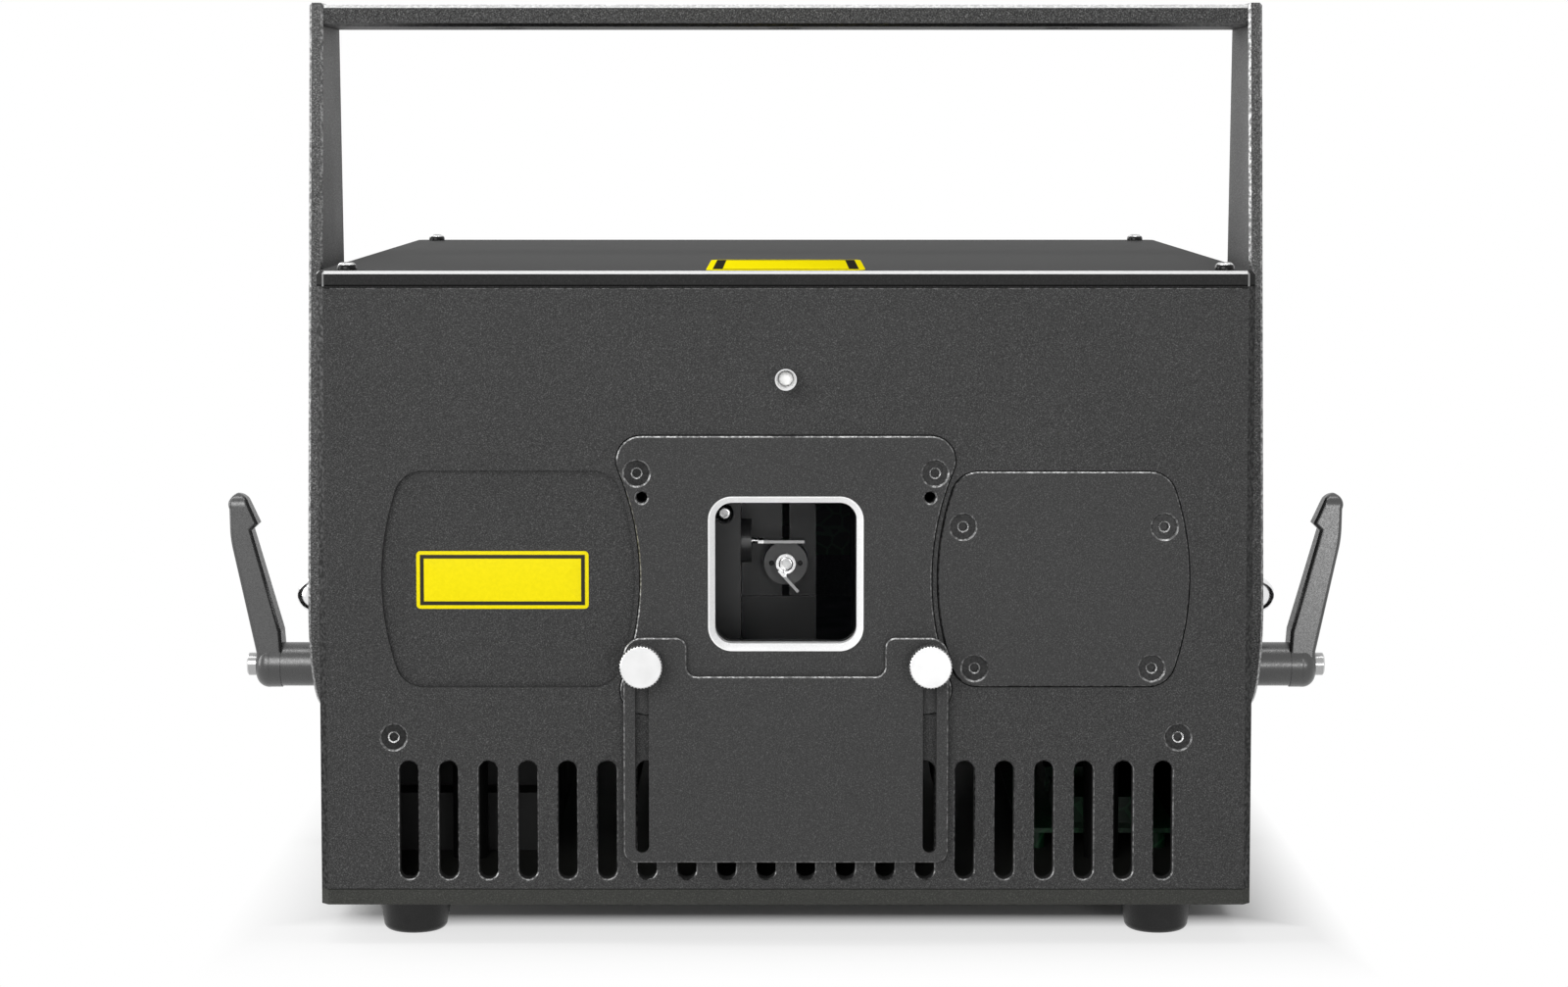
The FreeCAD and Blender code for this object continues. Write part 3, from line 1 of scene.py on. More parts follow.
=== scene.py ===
"""Dresses the laser show projector: a finish for every plate and fitting, and the pieces that only show.

Lengths are in metres in the part's own frame: Z up, X to the right of the front, the beam leaving along -Y.
"""
import logging
from abc import ABC, abstractmethod
from collections.abc import Sequence
from dataclasses import dataclass
from enum import Enum
from math import pi, radians

import bmesh
import bpy
import numpy as np
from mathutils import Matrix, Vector


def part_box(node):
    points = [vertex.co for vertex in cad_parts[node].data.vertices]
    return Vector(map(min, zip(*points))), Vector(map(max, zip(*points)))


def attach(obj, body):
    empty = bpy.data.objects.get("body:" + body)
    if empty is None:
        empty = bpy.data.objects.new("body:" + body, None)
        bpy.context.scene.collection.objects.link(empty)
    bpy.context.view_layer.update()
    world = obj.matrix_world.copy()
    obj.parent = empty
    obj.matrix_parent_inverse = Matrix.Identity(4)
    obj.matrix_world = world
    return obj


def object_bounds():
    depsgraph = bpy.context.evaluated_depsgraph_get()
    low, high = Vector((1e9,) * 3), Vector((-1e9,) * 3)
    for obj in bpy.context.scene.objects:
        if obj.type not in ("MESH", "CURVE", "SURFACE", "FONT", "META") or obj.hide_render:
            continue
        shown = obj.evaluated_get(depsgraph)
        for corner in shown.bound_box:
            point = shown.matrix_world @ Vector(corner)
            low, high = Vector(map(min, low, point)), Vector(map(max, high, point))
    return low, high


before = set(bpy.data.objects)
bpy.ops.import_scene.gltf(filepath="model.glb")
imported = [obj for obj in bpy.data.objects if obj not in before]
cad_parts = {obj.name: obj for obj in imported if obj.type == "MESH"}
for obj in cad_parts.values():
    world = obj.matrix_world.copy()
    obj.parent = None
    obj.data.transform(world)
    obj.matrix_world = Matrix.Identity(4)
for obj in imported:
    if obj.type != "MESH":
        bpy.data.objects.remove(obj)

CAD_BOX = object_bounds()
PHOTO_WIDTH = 1600
PHOTO_HEIGHT = 1007
SMOOTH_ANGLE = radians(32.0)
MERGE_DISTANCE = 1e-7
# Points round a turned piece, and along a plate's rounded corner.
SIDES = 36
CORNER_POINTS = 9
# Angles that turn a pattern off the axes, so that it is alike on every flat face.
SKEW = (0.61, 0.93, 0.37)
# Levels that most of a noise lies between.
NOISE_SPAN = (0.3, 0.7)
# Levels of a coat's specks, each with how much lighter than its ground the coat is there.
SPECKS = ((0.32, -0.26), (0.5, -0.02), (0.62, 0.24), (0.74, 0.9))
# Least share of its ground's level that a coat falls to.
DARKEST = 0.1
# Width over which one finish gives way to another.
STEP = 0.0001
# Radius and height along a screw head's dome, as shares of the whole, from its skirt up.
DOME = ((1.0, 0.3), (0.9, 0.68), (0.7, 0.93))
# Radius of the flat round a screw's socket, as a share of half the socket's width.
SOCKET_RIM = 1.35
# Inset and height along a bare plate's softened edge, as shares of its thickness, from its back up.
PLATE_EDGE = ((0.0, 0.0), (0.0, 0.5), (0.15, 0.85), (0.5, 1.0))
# Results at the two ends of a rising and of a falling step.
RISE = (0.0, 1.0)
FALL = (1.0, 0.0)
log = logging.getLogger("projector")

Colour = tuple[float, float, float]
Point = tuple[float, float, float]
Pair = tuple[float, float]
Rings = tuple[np.ndarray, np.ndarray]
Socket = bpy.types.NodeSocket


class Axis(Enum):
    """Direction that a plate faces or that a turned piece runs along."""

    X = 0
    Y = 1
    Z = 2


class Sense(Enum):
    """Whether a piece stands up along its axis or against it."""

    ALONG = 1.0
    AGAINST = -1.0


class Blend(Enum):
    """What a mix node mixes, with the numbers of its first input and of its output."""

    FLOAT = (2, 0)
    RGBA = (6, 2)


def opaque(colour: Colour) -> tuple[float, float, float, float]:
    """Give a colour with full cover."""
    return (*colour, 1.0)


def grey(level: float) -> Colour:
    """Give a neutral colour of one level."""
    return (level, level, level)


def shown(tree: bpy.types.NodeTree) -> Socket:
    """Give one to rays from the camera, from reflections and through glass, and zero to the rest.

    Args:
        tree: Nodes of a material or of the world.

    Returns:
        The largest of the three ray tests.
    """
    rays = tree.nodes.new("ShaderNodeLightPath")
    seen = rays.outputs["Is Camera Ray"]
    for key in ("Is Glossy Ray", "Is Transmission Ray"):
        either = tree.nodes.new("ShaderNodeMath")
        either.operation = "MAXIMUM"
        tree.links.new(seen, either.inputs[0])
        tree.links.new(rays.outputs[key], either.inputs[1])
        seen = either.outputs[0]
    return seen


class Shader:
    """Node tree of one material, written as short calls."""

    def __init__(self, name: str) -> None:
        """Start a material with its one surface node.

        Args:
            name: The material's name.
        """
        self.material = bpy.data.materials.new(name)
        self.material.use_nodes = True
        self.tree = self.material.node_tree
        self.surface = self.tree.nodes["Principled BSDF"]
        self.spot = self.add("ShaderNodeTexCoord")
        self.skew = self.place(turn=SKEW)

    def add(self, kind: str, **settings: object) -> bpy.types.Node:
        """Add a node and set its properties.

        Args:
            kind: Type of the node.
            settings: Properties of the node by name.

        Returns:
            The new node.
        """
        node = self.tree.nodes.new(kind)
        for key, value in settings.items():
            setattr(node, key, value)
        return node

    def feed(self, socket: Socket, value: object) -> None:
        """Link an output to a socket, or set the socket to a plain value.

        Args:
            socket: The input to feed.
            value: An output socket, a number or a colour.
        """
        if isinstance(value, bpy.types.NodeSocket):
            self.tree.links.new(value, socket)
        else:
            socket.default_value = value

    def give(self, **values: object) -> None:
        """Feed the surface node's inputs, named with underscores for spaces."""
        for key, value in values.items():
            self.feed(self.surface.inputs[key.replace("_", " ")], value)

    def place(self, centre: Point = (0, 0, 0), stretch: Point = (1, 1, 1), turn: Point = (0, 0, 0)) -> Socket:
        """Give Object coordinates measured from a centre.

        Args:
            centre: Point that becomes the origin.
            stretch: Factor along each axis, below one for a pattern that runs along it.
            turn: Angles of the pattern round each axis, which no centre goes with.

        Returns:
            The vector output.
        """
        node = self.add("ShaderNodeMapping", vector_type="POINT")
        node.inputs["Location"].default_value = tuple(-c * s for c, s in zip(centre, stretch))
        node.inputs["Rotation"].default_value = turn
        node.inputs["Scale"].default_value = stretch
        self.feed(node.inputs["Vector"], self.spot.outputs["Object"])
        return node.outputs["Vector"]

    def parts(self, vector: Socket) -> tuple[Socket, Socket, Socket]:
        """Take a vector apart.

        Args:
            vector: The vector output.

        Returns:
            Its parts along X, Y and Z.
        """
        node = self.add("ShaderNodeSeparateXYZ")
        self.feed(node.inputs[0], vector)
        return tuple(node.outputs)

    def noise(self, size: float, detail: float = 2.0, where: Socket | None = None) -> Socket:
        """Give fractal noise whose features are about one size across.

        Args:
            size: Width of a feature.
            detail: Number of finer layers.
            where: Coordinates, or none for the object's own turned off the axes.

        Returns:
            The noise level, near one half on average.
        """
        node = self.add("ShaderNodeTexNoise")
        self.feed(node.inputs["Vector"], where or self.skew)
        node.inputs["Scale"].default_value = 1.0 / size
        node.inputs["Detail"].default_value = detail
        return node.outputs["Fac"]

    def cells(self, size: float) -> Socket:
        """Give the distance to the nearest border of a cell pattern.

        Args:
            size: Width of a cell.

        Returns:
            The distance in cell widths.
        """
        node = self.add("ShaderNodeTexVoronoi", feature="DISTANCE_TO_EDGE")
        self.feed(node.inputs["Vector"], self.spot.outputs["Object"])
        node.inputs["Scale"].default_value = 1.0 / size
        return node.outputs["Distance"]

    def rings(self, centre: Point, axis: Axis, pitch: float) -> Socket:
        """Give fine turning marks around an axis, one wave for each pitch of radius.

        Args:
            centre: Point on the axis.
            axis: Direction of the axis.
            pitch: Distance between two marks.

        Returns:
            The height of the marks.
        """
        radians_per_scale = 20
        node = self.add("ShaderNodeTexWave", wave_type="RINGS", rings_direction=axis.name)
        self.feed(node.inputs["Vector"], self.place(centre))
        node.inputs["Scale"].default_value = 2 * pi / (radians_per_scale * pitch)
        node.inputs["Distortion"].default_value = 0.0
        return node.outputs["Fac"]

    def remap(self, value: Socket, span: Pair, result: Pair) -> Socket:
        """Carry a value from one span to another, clamped at both ends.

        Args:
            value: The value to carry.
            span: Ends of the span that it comes from.
            result: Results at those ends.

        Returns:
            The carried value.
        """
        node = self.add("ShaderNodeMapRange")
        self.feed(node.inputs["Value"], value)
        for key, level in zip(("From Min", "From Max", "To Min", "To Max"), (*span, *result)):
            node.inputs[key].default_value = level
        return node.outputs["Result"]

    def sway(self, noise: Socket, level: float, swing: Pair) -> Socket:
        """Let noise move a level, by one amount where it is low and by another where it is high."""
        return self.remap(noise, NOISE_SPAN, (level + swing[0], level + swing[1]))

    def tones(self, value: Socket, stops: Sequence[tuple[float, Colour]]) -> Socket:
        """Colour a value by a row of stops.

        Args:
            value: The value to colour.
            stops: Positions and colours in rising order.

        Returns:
            The colour output.
        """
        node = self.add("ShaderNodeValToRGB")
        ramp = node.color_ramp
        while len(ramp.elements) < len(stops):
            ramp.elements.new(1.0)
        for element, (position, colour) in zip(ramp.elements, stops):
            element.position = position
            element.color = opaque(colour)
        self.feed(node.inputs["Fac"], value)
        return node.outputs["Color"]

    def shades(self, noise: Socket, low: Colour, high: Colour) -> Socket:
        """Colour noise by two colours, at the levels that most of it lies between."""
        return self.tones(noise, list(zip(NOISE_SPAN, (low, high))))

    def maths(self, operation: str, first: object, second: object = 0.0) -> Socket:
        """Join two values by one operation.

        Args:
            operation: Name of the operation.
            first: A socket or number.
            second: A socket or number.

        Returns:
            The result.
        """
        node = self.add("ShaderNodeMath", operation=operation)
        self.feed(node.inputs[0], first)
        self.feed(node.inputs[1], second)
        return node.outputs[0]

    def mix(self, kind: Blend, share: Socket, first: object, second: object) -> Socket:
        """Mix two numbers or two colours.

        Args:
            kind: What is mixed.
            share: Zero for the first, one for the second.
            first: A socket, number or colour.
            second: A socket, number or colour.

        Returns:
            The mixture.
        """
        start, out = kind.value
        node = self.add("ShaderNodeMix", data_type=kind.name)
        for slot, value in ((0, share), (start, first), (start + 1, second)):
            self.feed(node.inputs[slot], value)
        return node.outputs[out]

    def lean(self, axis: Axis) -> Socket:
        """Give how far a face leans to an axis: one where it faces along it, zero where it runs along it."""
        return self.maths("ABSOLUTE", self.parts(self.spot.outputs["Normal"])[axis.value])

    def band(self, value: Socket, levels: Pair, soft: float = 0.03) -> Socket:
        """Give one where a value lies between two levels, and zero elsewhere.

        Args:
            value: The value to test.
            levels: Lower and upper level.
            soft: Half the width of the step at each level.

        Returns:
            The product of a rising and a falling step.
        """
        low, high = levels
        rise = self.remap(value, (low - soft, low + soft), RISE)
        return self.maths("MULTIPLY", rise, self.remap(value, (high - soft, high + soft), FALL))

    def bump(self, height: Socket, strength: float, depth: float) -> None:
        """Raise the surface's shading by a height.

        Args:
            height: Height from zero to one.
            strength: How much of it shows.
            depth: Height of one in metres.
        """
        node = self.add("ShaderNodeBump")
        self.feed(node.inputs["Height"], height)
        node.inputs["Strength"].default_value = strength
        node.inputs["Distance"].default_value = depth
        self.feed(self.surface.inputs["Normal"], node.outputs["Normal"])


@dataclass(frozen=True)
class Finish(ABC):
    """What every finish has: a name, and a material that it can make.

    Attributes:
        name: The material's name.
    """

    name: str

    def build(self) -> bpy.types.Material:
        """Make the material.

        Returns:
            The new material.
        """
        shader = Shader(self.name)
        self.paint(shader)
        return shader.material

    @abstractmethod
    def paint(self, shader: Shader) -> None:
        """Feed the surface of a material in the making."""


@dataclass(frozen=True)
class PowderCoat(Finish):
    """Fine textured black coat: a dark ground with pale specks, pebbled, and rubbed smooth along its bevels.

    Attributes:
        faces: Direction that the plate faces.
        shade: Level of the ground.
        tint: Cast of the ground.
        grain: Width of a pebble.
        contrast: How far the specks stand out.
        rubbed: How much a bevel reflects, as bare metal does.
        reach: Distance from the middle plane past which the bevels are the plate's corners, and stay dark.
        gloss: Specular level.
        rough: Roughness of the ground.
        chips: Least and most share of the rubbing along a bevel.
        chip: Width of a rubbed spot.
        chip_levels: Levels of the noise at the least and at the most rubbing.
        bevel: How far a bevel leans to where the plate faces, at the least and at the most.
        corner: The most that a corner's bevel reflects.
        corner_step: Width over which a corner's bevel starts.
        cloud: Width of a duller or brighter patch.
        uneven: How far such patches lower and raise the roughness.
        polish: Roughness of a rubbed bevel.
        relief: How much of the pebbles shows in the shading.
        pebble: Height of a pebble as a share of its width.
    """

    faces: Axis = Axis.Y
    shade: float = 0.036
    tint: Colour = (1.0, 1.0, 1.0)
    grain: float = 0.0004
    contrast: float = 1.8
    rubbed: float = 0.17
    reach: float = 1.0
    gloss: float = 0.16
    rough: float = 0.56
    chips: Pair = (0.55, 1.8)
    chip: float = 0.0011
    chip_levels: Pair = (0.42, 0.64)
    bevel: Pair = (0.3, 0.94)
    corner: float = 0.03
    corner_step: float = 0.0005
    cloud: float = 0.05
    uneven: Pair = (-0.04, 0.05)
    polish: float = 0.3
    relief: float = 0.4
    pebble: float = 0.18

    def ground(self, shader: Shader, specks: Socket, shade: float) -> Socket:
        """Colour the coat by its specks.

        Args:
            shader: The material in the making.
            specks: Level of the specks.
            shade: Level of the ground.

        Returns:
            The colour.
        """
        stops = []
        for level, more in SPECKS:
            tone = shade * max(1 + self.contrast * more, DARKEST)
            stops.append((level, tuple(tone * part for part in self.tint)))
        return shader.tones(specks, stops)

    def paint(self, shader: Shader) -> None:
        """Make the coat: specks by a ramp on fine noise, bevels found by how far a face leans.

        Args:
            shader: The material in the making.
        """
        specks = shader.noise(self.grain, detail=1.0)
        bevel = shader.band(shader.lean(self.faces), self.bevel)
        rough = shader.sway(shader.noise(self.cloud), self.rough, self.uneven)
        chips = shader.remap(shader.noise(self.chip), self.chip_levels, self.chips)
        aside = shader.maths("ABSOLUTE", shader.parts(shader.spot.outputs["Object"])[Axis.X.value])
        start = (self.reach - self.corner_step, self.reach)
        bare = shader.remap(aside, start, (self.rubbed, min(self.rubbed, self.corner)))
        worn = shader.maths("MULTIPLY", chips, bare)
        ground = self.ground(shader, specks, self.shade)
        shader.give(Base_Color=shader.mix(Blend.RGBA, bevel, ground, worn),
                    Roughness=shader.mix(Blend.FLOAT, bevel, rough, self.polish), Metallic=bevel,
                    Specular_IOR_Level=self.gloss)
        shader.bump(specks, self.relief, self.grain * self.pebble)


@dataclass(frozen=True)
class MachinedLid(PowderCoat):
    """Coat of the lid: lighter on its upright sides, with bevels and corner breaks cut down to bright metal.

    Attributes:
        side: Level of the coat on the upright sides.
        bare: Level of the bright metal.
        painted_shade_top: Height below which the coat is near black: painted shade of the joint under the
            lid's lower edge.
        dark: Level of that painted shade.
        straight: How far a face leans to the front or a side where a straight edge starts and is full.
        corner_break: How far a corner break leans to the front, at the least and at the most.
        upright: How far a face leans up where a corner break starts to end, and where it has ended.
        top: How far a face leans up where the coat of the sides ends, and where that of the top is full.
    """

    bevel: Pair = (0.3, 0.9)
    uneven: Pair = (-0.03, 0.05)
    relief: float = 0.25
    pebble: float = 0.12
    side: float = 0.022
    bare: float = 0.24
    painted_shade_top: float = 0.0
    dark: float = 0.001
    straight: Pair = (0.58, 0.64)
    corner_break: Pair = (0.85, 0.96)
    upright: Pair = (0.1, 0.2)
    top: Pair = (0.3, 0.6)

    def paint(self, shader: Shader) -> None:
        """Make the coat: the metal shows where a straight edge leans up, or a front corner stands off square.

        Args:
            shader: The material in the making.
        """
        specks = shader.noise(self.grain, detail=1.0)
        up = shader.lean(Axis.Z)
        front = shader.lean(Axis.Y)
        square = shader.maths("MAXIMUM", shader.lean(Axis.X), front)
        straight = shader.remap(square, self.straight, RISE)
        edges = shader.maths("MULTIPLY", shader.band(up, self.bevel), straight)
        upright = shader.remap(up, self.upright, FALL)
        breaks = shader.maths("MULTIPLY", shader.band(front, self.corner_break), upright)
        cut = shader.maths("MAXIMUM", edges, breaks)
        sides = self.ground(shader, specks, self.side)
        top = self.ground(shader, specks, self.shade)
        coat = shader.mix(Blend.RGBA, shader.remap(up, self.top, RISE), sides, top)
        # Painted shade: below that height the coat is near black and shows no metal, in place of the shade
        # under the lid's lower edge.
        height = shader.parts(shader.spot.outputs["Object"])[Axis.Z.value]
        clear = shader.remap(height, (self.painted_shade_top - STEP, self.painted_shade_top), RISE)
        coat = shader.mix(Blend.RGBA, clear, opaque(grey(self.dark)), coat)
        rough = shader.sway(specks, self.rough, self.uneven)
        shader.give(Base_Color=shader.mix(Blend.RGBA, cut, coat, opaque(grey(self.bare))),
                    Metallic=shader.maths("MULTIPLY", cut, clear), Specular_IOR_Level=self.gloss,
                    Roughness=shader.mix(Blend.FLOAT, cut, rough, self.polish))
        shader.bump(specks, self.relief, self.grain * self.pebble)


@dataclass(frozen=True)
class DarkSteel(Finish):
    """Blackened steel of screws: near black, semi-bright, rubbed bright along the mouth of the socket.

    Attributes:
        axis: Direction of the screws.
        shade: Level of the steel.
        rough: Middle roughness.
        bare: Level of the bright steel where it is rubbed, which on a dome's crown is also a painted
            highlight.
        worn: How far a face leans towards the axis where the bright steel starts and ends.
        mark: Width of a fine mark.
        mark_tones: Level of the marks and share of the shade there, at their darkest and lightest.
        rubbing: Levels of the marks where the rubbing is least and where it is full.
        least: Share of the rubbing at its least.
        patch: Width of a duller or brighter patch.
        uneven: How far such patches lower and raise the roughness.
        polish: Roughness where it is rubbed.
        metallic: Share of metal.
        relief: How much of the marks shows in the shading.
        depth: Height of the marks.
    """

    axis: Axis = Axis.Y
    shade: float = 0.02
    rough: float = 0.3
    bare: float = 0.9
    worn: Pair = (0.5, 0.9)
    mark: float = 0.0006
    mark_tones: tuple[Pair, Pair] = ((0.35, 0.7), (0.65, 1.5))
    rubbing: Pair = (0.36, 0.5)
    least: float = 0.3
    patch: float = 0.004
    uneven: Pair = (-0.08, 0.1)
    polish: float = 0.25
    metallic: float = 0.85
    relief: float = 0.2
    depth: float = 0.00003

    def paint(self, shader: Shader) -> None:
        """Make the steel from fine and broad noise, rubbed where a face leans between the head and its side.

        Args:
            shader: The material in the making.
        """
        marks = shader.noise(self.mark, detail=3.0)
        share = shader.remap(marks, self.rubbing, (self.least, 1.0))
        rubbed = shader.maths("MULTIPLY", shader.band(shader.lean(self.axis), self.worn), share)
        head = shader.tones(marks, [(level, grey(self.shade * tone)) for level, tone in self.mark_tones])
        rough = shader.sway(shader.noise(self.patch), self.rough, self.uneven)
        shader.give(Base_Color=shader.mix(Blend.RGBA, rubbed, head, opaque(grey(self.bare))),
                    Roughness=shader.mix(Blend.FLOAT, rubbed, rough, self.polish), Metallic=self.metallic)
        shader.bump(marks, self.relief, self.depth)


@dataclass(frozen=True)
class TurnedSteel(Finish):
    """Bright steel with turning marks round an axis, greyer round its side.

    Attributes:
        centre: Point on the axis.
        axis: Direction of the axis.
        shade: Level of the steel on its face.
        side: Level of the steel on its side, darker as a painted shade.
        pitch: Distance between two marks.
        rough: Middle roughness.
        smear: Width of a smear.
        smear_share: Share of the shade where the smears are darkest.
        uneven: How far the smears lower and raise the roughness.
        facing: How far a face leans to the axis where the side ends, and where the face is full.
        metallic: Share of metal.
        relief: How much of the marks shows in the shading.
        depth: Height of the marks.
    """

    centre: Point
    axis: Axis
    shade: float = 0.68
    side: float = 0.4
    pitch: float = 0.00028
    rough: float = 0.34
    smear: float = 0.003
    smear_share: float = 0.97
    uneven: Pair = (-0.02, 0.02)
    facing: Pair = (0.3, 0.8)
    metallic: float = 0.9
    relief: float = 0.2
    depth: float = 0.00002

    def paint(self, shader: Shader) -> None:
        """Make the steel: rings of height with a little noise over them.

        Args:
            shader: The material in the making.
        """
        marks = shader.rings(self.centre, self.axis, self.pitch)
        smears = shader.noise(self.smear, detail=3.0)
        face = shader.shades(smears, grey(self.shade * self.smear_share), grey(self.shade))
        # Painted shade: faces that run along the axis take the darker side level, in place of the shade round
        # the rim.
        facing = shader.remap(shader.lean(self.axis), self.facing, RISE)
        shader.give(Base_Color=shader.mix(Blend.RGBA, facing, opaque(grey(self.side)), face),
                    Roughness=shader.sway(smears, self.rough, self.uneven), Metallic=self.metallic)
        shader.bump(marks, self.relief, self.depth)


@dataclass(frozen=True)
class BrightMetal(Finish):
    """Plain metal with a fine grain: satin, machined, plated or spangled by its values.

    Attributes:
        colour: Colour of the metal.
        rough: Middle roughness.
        grain: Width of the grain.
        run: Factor along each axis, below one where the grain runs along it.
        depth: Height of the grain.
        metallic: Share of metal.
        dark: Share of the colour where the grain is darkest.
        cloud: Width of a duller or brighter patch.
        uneven: Share of the roughness by which such patches lower and raise it.
        relief: How much of the grain shows in the shading.
    """

    colour: Colour = (0.86, 0.86, 0.87)
    rough: float = 0.3
    grain: float = 0.0005
    run: Point = (1.0, 1.0, 1.0)
    depth: float = 0.00002
    metallic: float = 1.0
    dark: float = 0.88
    cloud: float = 0.02
    uneven: float = 0.2
    relief: float = 0.3

    def paint(self, shader: Shader) -> None:
        """Make the metal from noise that may be drawn out along one axis.

        Args:
            shader: The material in the making.
        """
        grain = shader.noise(self.grain, detail=3.0, where=shader.place(stretch=self.run))
        dark = tuple(self.dark * part for part in self.colour)
        swing = self.rough * self.uneven
        shader.give(Base_Color=shader.shades(grain, dark, self.colour), Metallic=self.metallic,
                    Roughness=shader.sway(shader.noise(self.cloud), self.rough, (-swing, swing)))
        shader.bump(grain, self.relief, self.depth)


@dataclass(frozen=True)
class HubbedMirror(Finish):
    """Scanning mirror: silvered glass past a turned hub of bright steel.

    Attributes:
        centre: Point on the hub's axis, where the glass starts.
        axis: Direction of the hub: along X it lies before the glass, and along Y within a radius.
        hub: Radius of the hub.
        glass: Level of the silvered glass.
        glass_share: Share of that level where the glass is darkest.
        glass_rough: Roughness of the glass.
        steel: Darkest and lightest level of the steel.
        steel_rough: Middle roughness of the steel.
        uneven: How far its grain lowers and raises it.
        grain: Width of the grain.
        relief: How much of the grain shows in the shading.
        depth: Height of the grain.
    """

    centre: Point
    axis: Axis
    hub: float = 0.0
    glass: float = 0.36
    glass_share: float = 0.9
    glass_rough: float = 0.1
    steel: Pair = (0.72, 0.9)
    steel_rough: float = 0.25
    uneven: Pair = (-0.05, 0.05)
    grain: float = 0.0007
    relief: float = 0.15
    depth: float = 0.000004

    def paint(self, shader: Shader) -> None:
        """Make the mirror: steel within the hub's radius, or before the point where the glass starts.

        Args:
            shader: The material in the making.
        """
        x, _, z = shader.parts(shader.place(self.centre))
        if self.axis is Axis.X:
            away = x
        else:
            squares = [shader.maths("MULTIPLY", part, part) for part in (x, z)]
            away = shader.maths("SQRT", shader.maths("ADD", *squares))
        hub = shader.remap(away, (self.hub, self.hub + STEP), FALL)
        grain = shader.noise(self.grain, detail=3.0)
        steel = shader.shades(grain, *[grey(level) for level in self.steel])
        silver = shader.shades(grain, grey(self.glass * self.glass_share), grey(self.glass))
        rough = shader.sway(grain, self.steel_rough, self.uneven)
        shader.give(Base_Color=shader.mix(Blend.RGBA, hub, silver, steel), Metallic=1.0,
                    Roughness=shader.mix(Blend.FLOAT, hub, self.glass_rough, rough))
        shader.bump(grain, self.relief, self.depth)


@dataclass(frozen=True)
class MouldedPlastic(Finish):
    """Moulded plastic: dark, softly bright, with a fine spark-eroded texture.

    Attributes:
        shade: Level of the plastic.
        rough: Middle roughness.
        gloss: Specular level.
        grain: Width of the texture.
        relief: How much of the texture shows in the shading.
        depth: Height of the texture.
        uneven: How far the texture lowers and raises the roughness.
        patch: Width and detail of the broad patches.
        patch_tones: Level of the patches and share of the shade there, at their darkest and lightest.
    """

    shade: float = 0.03
    rough: float = 0.38
    gloss: float = 0.5
    grain: float = 0.0007
    relief: float = 0.25
    depth: float = 0.00004
    uneven: Pair = (-0.06, 0.08)
    patch: Pair = (0.012, 2.0)
    patch_tones: tuple[Pair, Pair] = ((0.3, 0.85), (0.7, 1.15))

    def paint(self, shader: Shader) -> None:
        """Make the plastic: patches by broad noise, a dull skin by fine noise.

        Args:
            shader: The material in the making.
        """
        texture = shader.noise(self.grain, detail=3.0)
        stops = [(level, grey(self.shade * tone)) for level, tone in self.patch_tones]
        shader.give(Base_Color=shader.tones(shader.noise(*self.patch), stops), Specular_IOR_Level=self.gloss,
                    Roughness=shader.sway(texture, self.rough, self.uneven))
        shader.bump(texture, self.relief, self.depth)


@dataclass(frozen=True)
class Rubber(MouldedPlastic):
    """Moulded rubber: dull black, with dust in its patches."""

    shade: float = 0.02
    rough: float = 0.45
    gloss: float = 0.4
    grain: float = 0.0006
    relief: float = 0.2
    patch: Pair = (0.006, 3.0)
    patch_tones: tuple[Pair, Pair] = ((0.35, 0.8), (0.75, 1.6))


@dataclass(frozen=True)
class CoatedGlass(Finish):
    """Clear window glass with a coating that keeps its reflections low.

    Attributes:
        cover: Share of the surface's own light over what lies behind it.
        dark: Colour of the glass where it is darkest.
        light: Colour of the glass where it is lightest.
        rough: Middle roughness.
        uneven: How far wipe marks lower and raise it.
        wipe: Width of a wipe mark.
        run: Factor along each axis, below one where the marks run along it.
        gloss: Specular level.
    """

    cover: float = 0.025
    dark: Colour = (0.012, 0.014, 0.016)
    light: Colour = (0.02, 0.023, 0.026)
    rough: float = 0.04
    uneven: Pair = (-0.02, 0.02)
    wipe: float = 0.004
    run: Point = (0.2, 1.0, 1.0)
    gloss: float = 0.2

    def paint(self, shader: Shader) -> None:
        """Make the glass: a thin cover, with faint wipe marks in its roughness.

        Args:
            shader: The material in the making.
        """
        wipes = shader.noise(self.wipe, detail=2.0, where=shader.place(stretch=self.run))
        shader.give(Base_Color=shader.shades(wipes, self.dark, self.light), Alpha=self.cover,
                    Roughness=shader.sway(wipes, self.rough, self.uneven), Specular_IOR_Level=self.gloss)


@dataclass(frozen=True)
class MilkyLens(Finish):
    """Unlit lamp lens: milky white moulding with a soft inner glow.

    Attributes:
        dark: Colour where the haze is thin.
        light: Colour where the haze is thick.
        haze: Width of a patch of haze.
        rough: Middle roughness.
        uneven: How far the haze lowers and raises it.
        scatter: Share of the light that scatters inside.
        travel: Distance that its red, green and blue travel there.
        travel_share: Share of that distance that is used.
    """

    dark: Colour = (0.8, 0.8, 0.78)
    light: Colour = (0.92, 0.92, 0.9)
    haze: float = 0.0016
    rough: float = 0.21
    uneven: Pair = (-0.05, 0.05)
    scatter: float = 0.35
    travel: Colour = (0.002, 0.002, 0.002)
    travel_share: float = 0.6

    def paint(self, shader: Shader) -> None:
        """Make the lens from broad noise over a light-scattering body.

        Args:
            shader: The material in the making.
        """
        haze = shader.noise(self.haze)
        shader.give(Base_Color=shader.shades(haze, self.dark, self.light),
                    Roughness=shader.sway(haze, self.rough, self.uneven), Subsurface_Weight=self.scatter,
                    Subsurface_Radius=self.travel, Subsurface_Scale=self.travel_share)


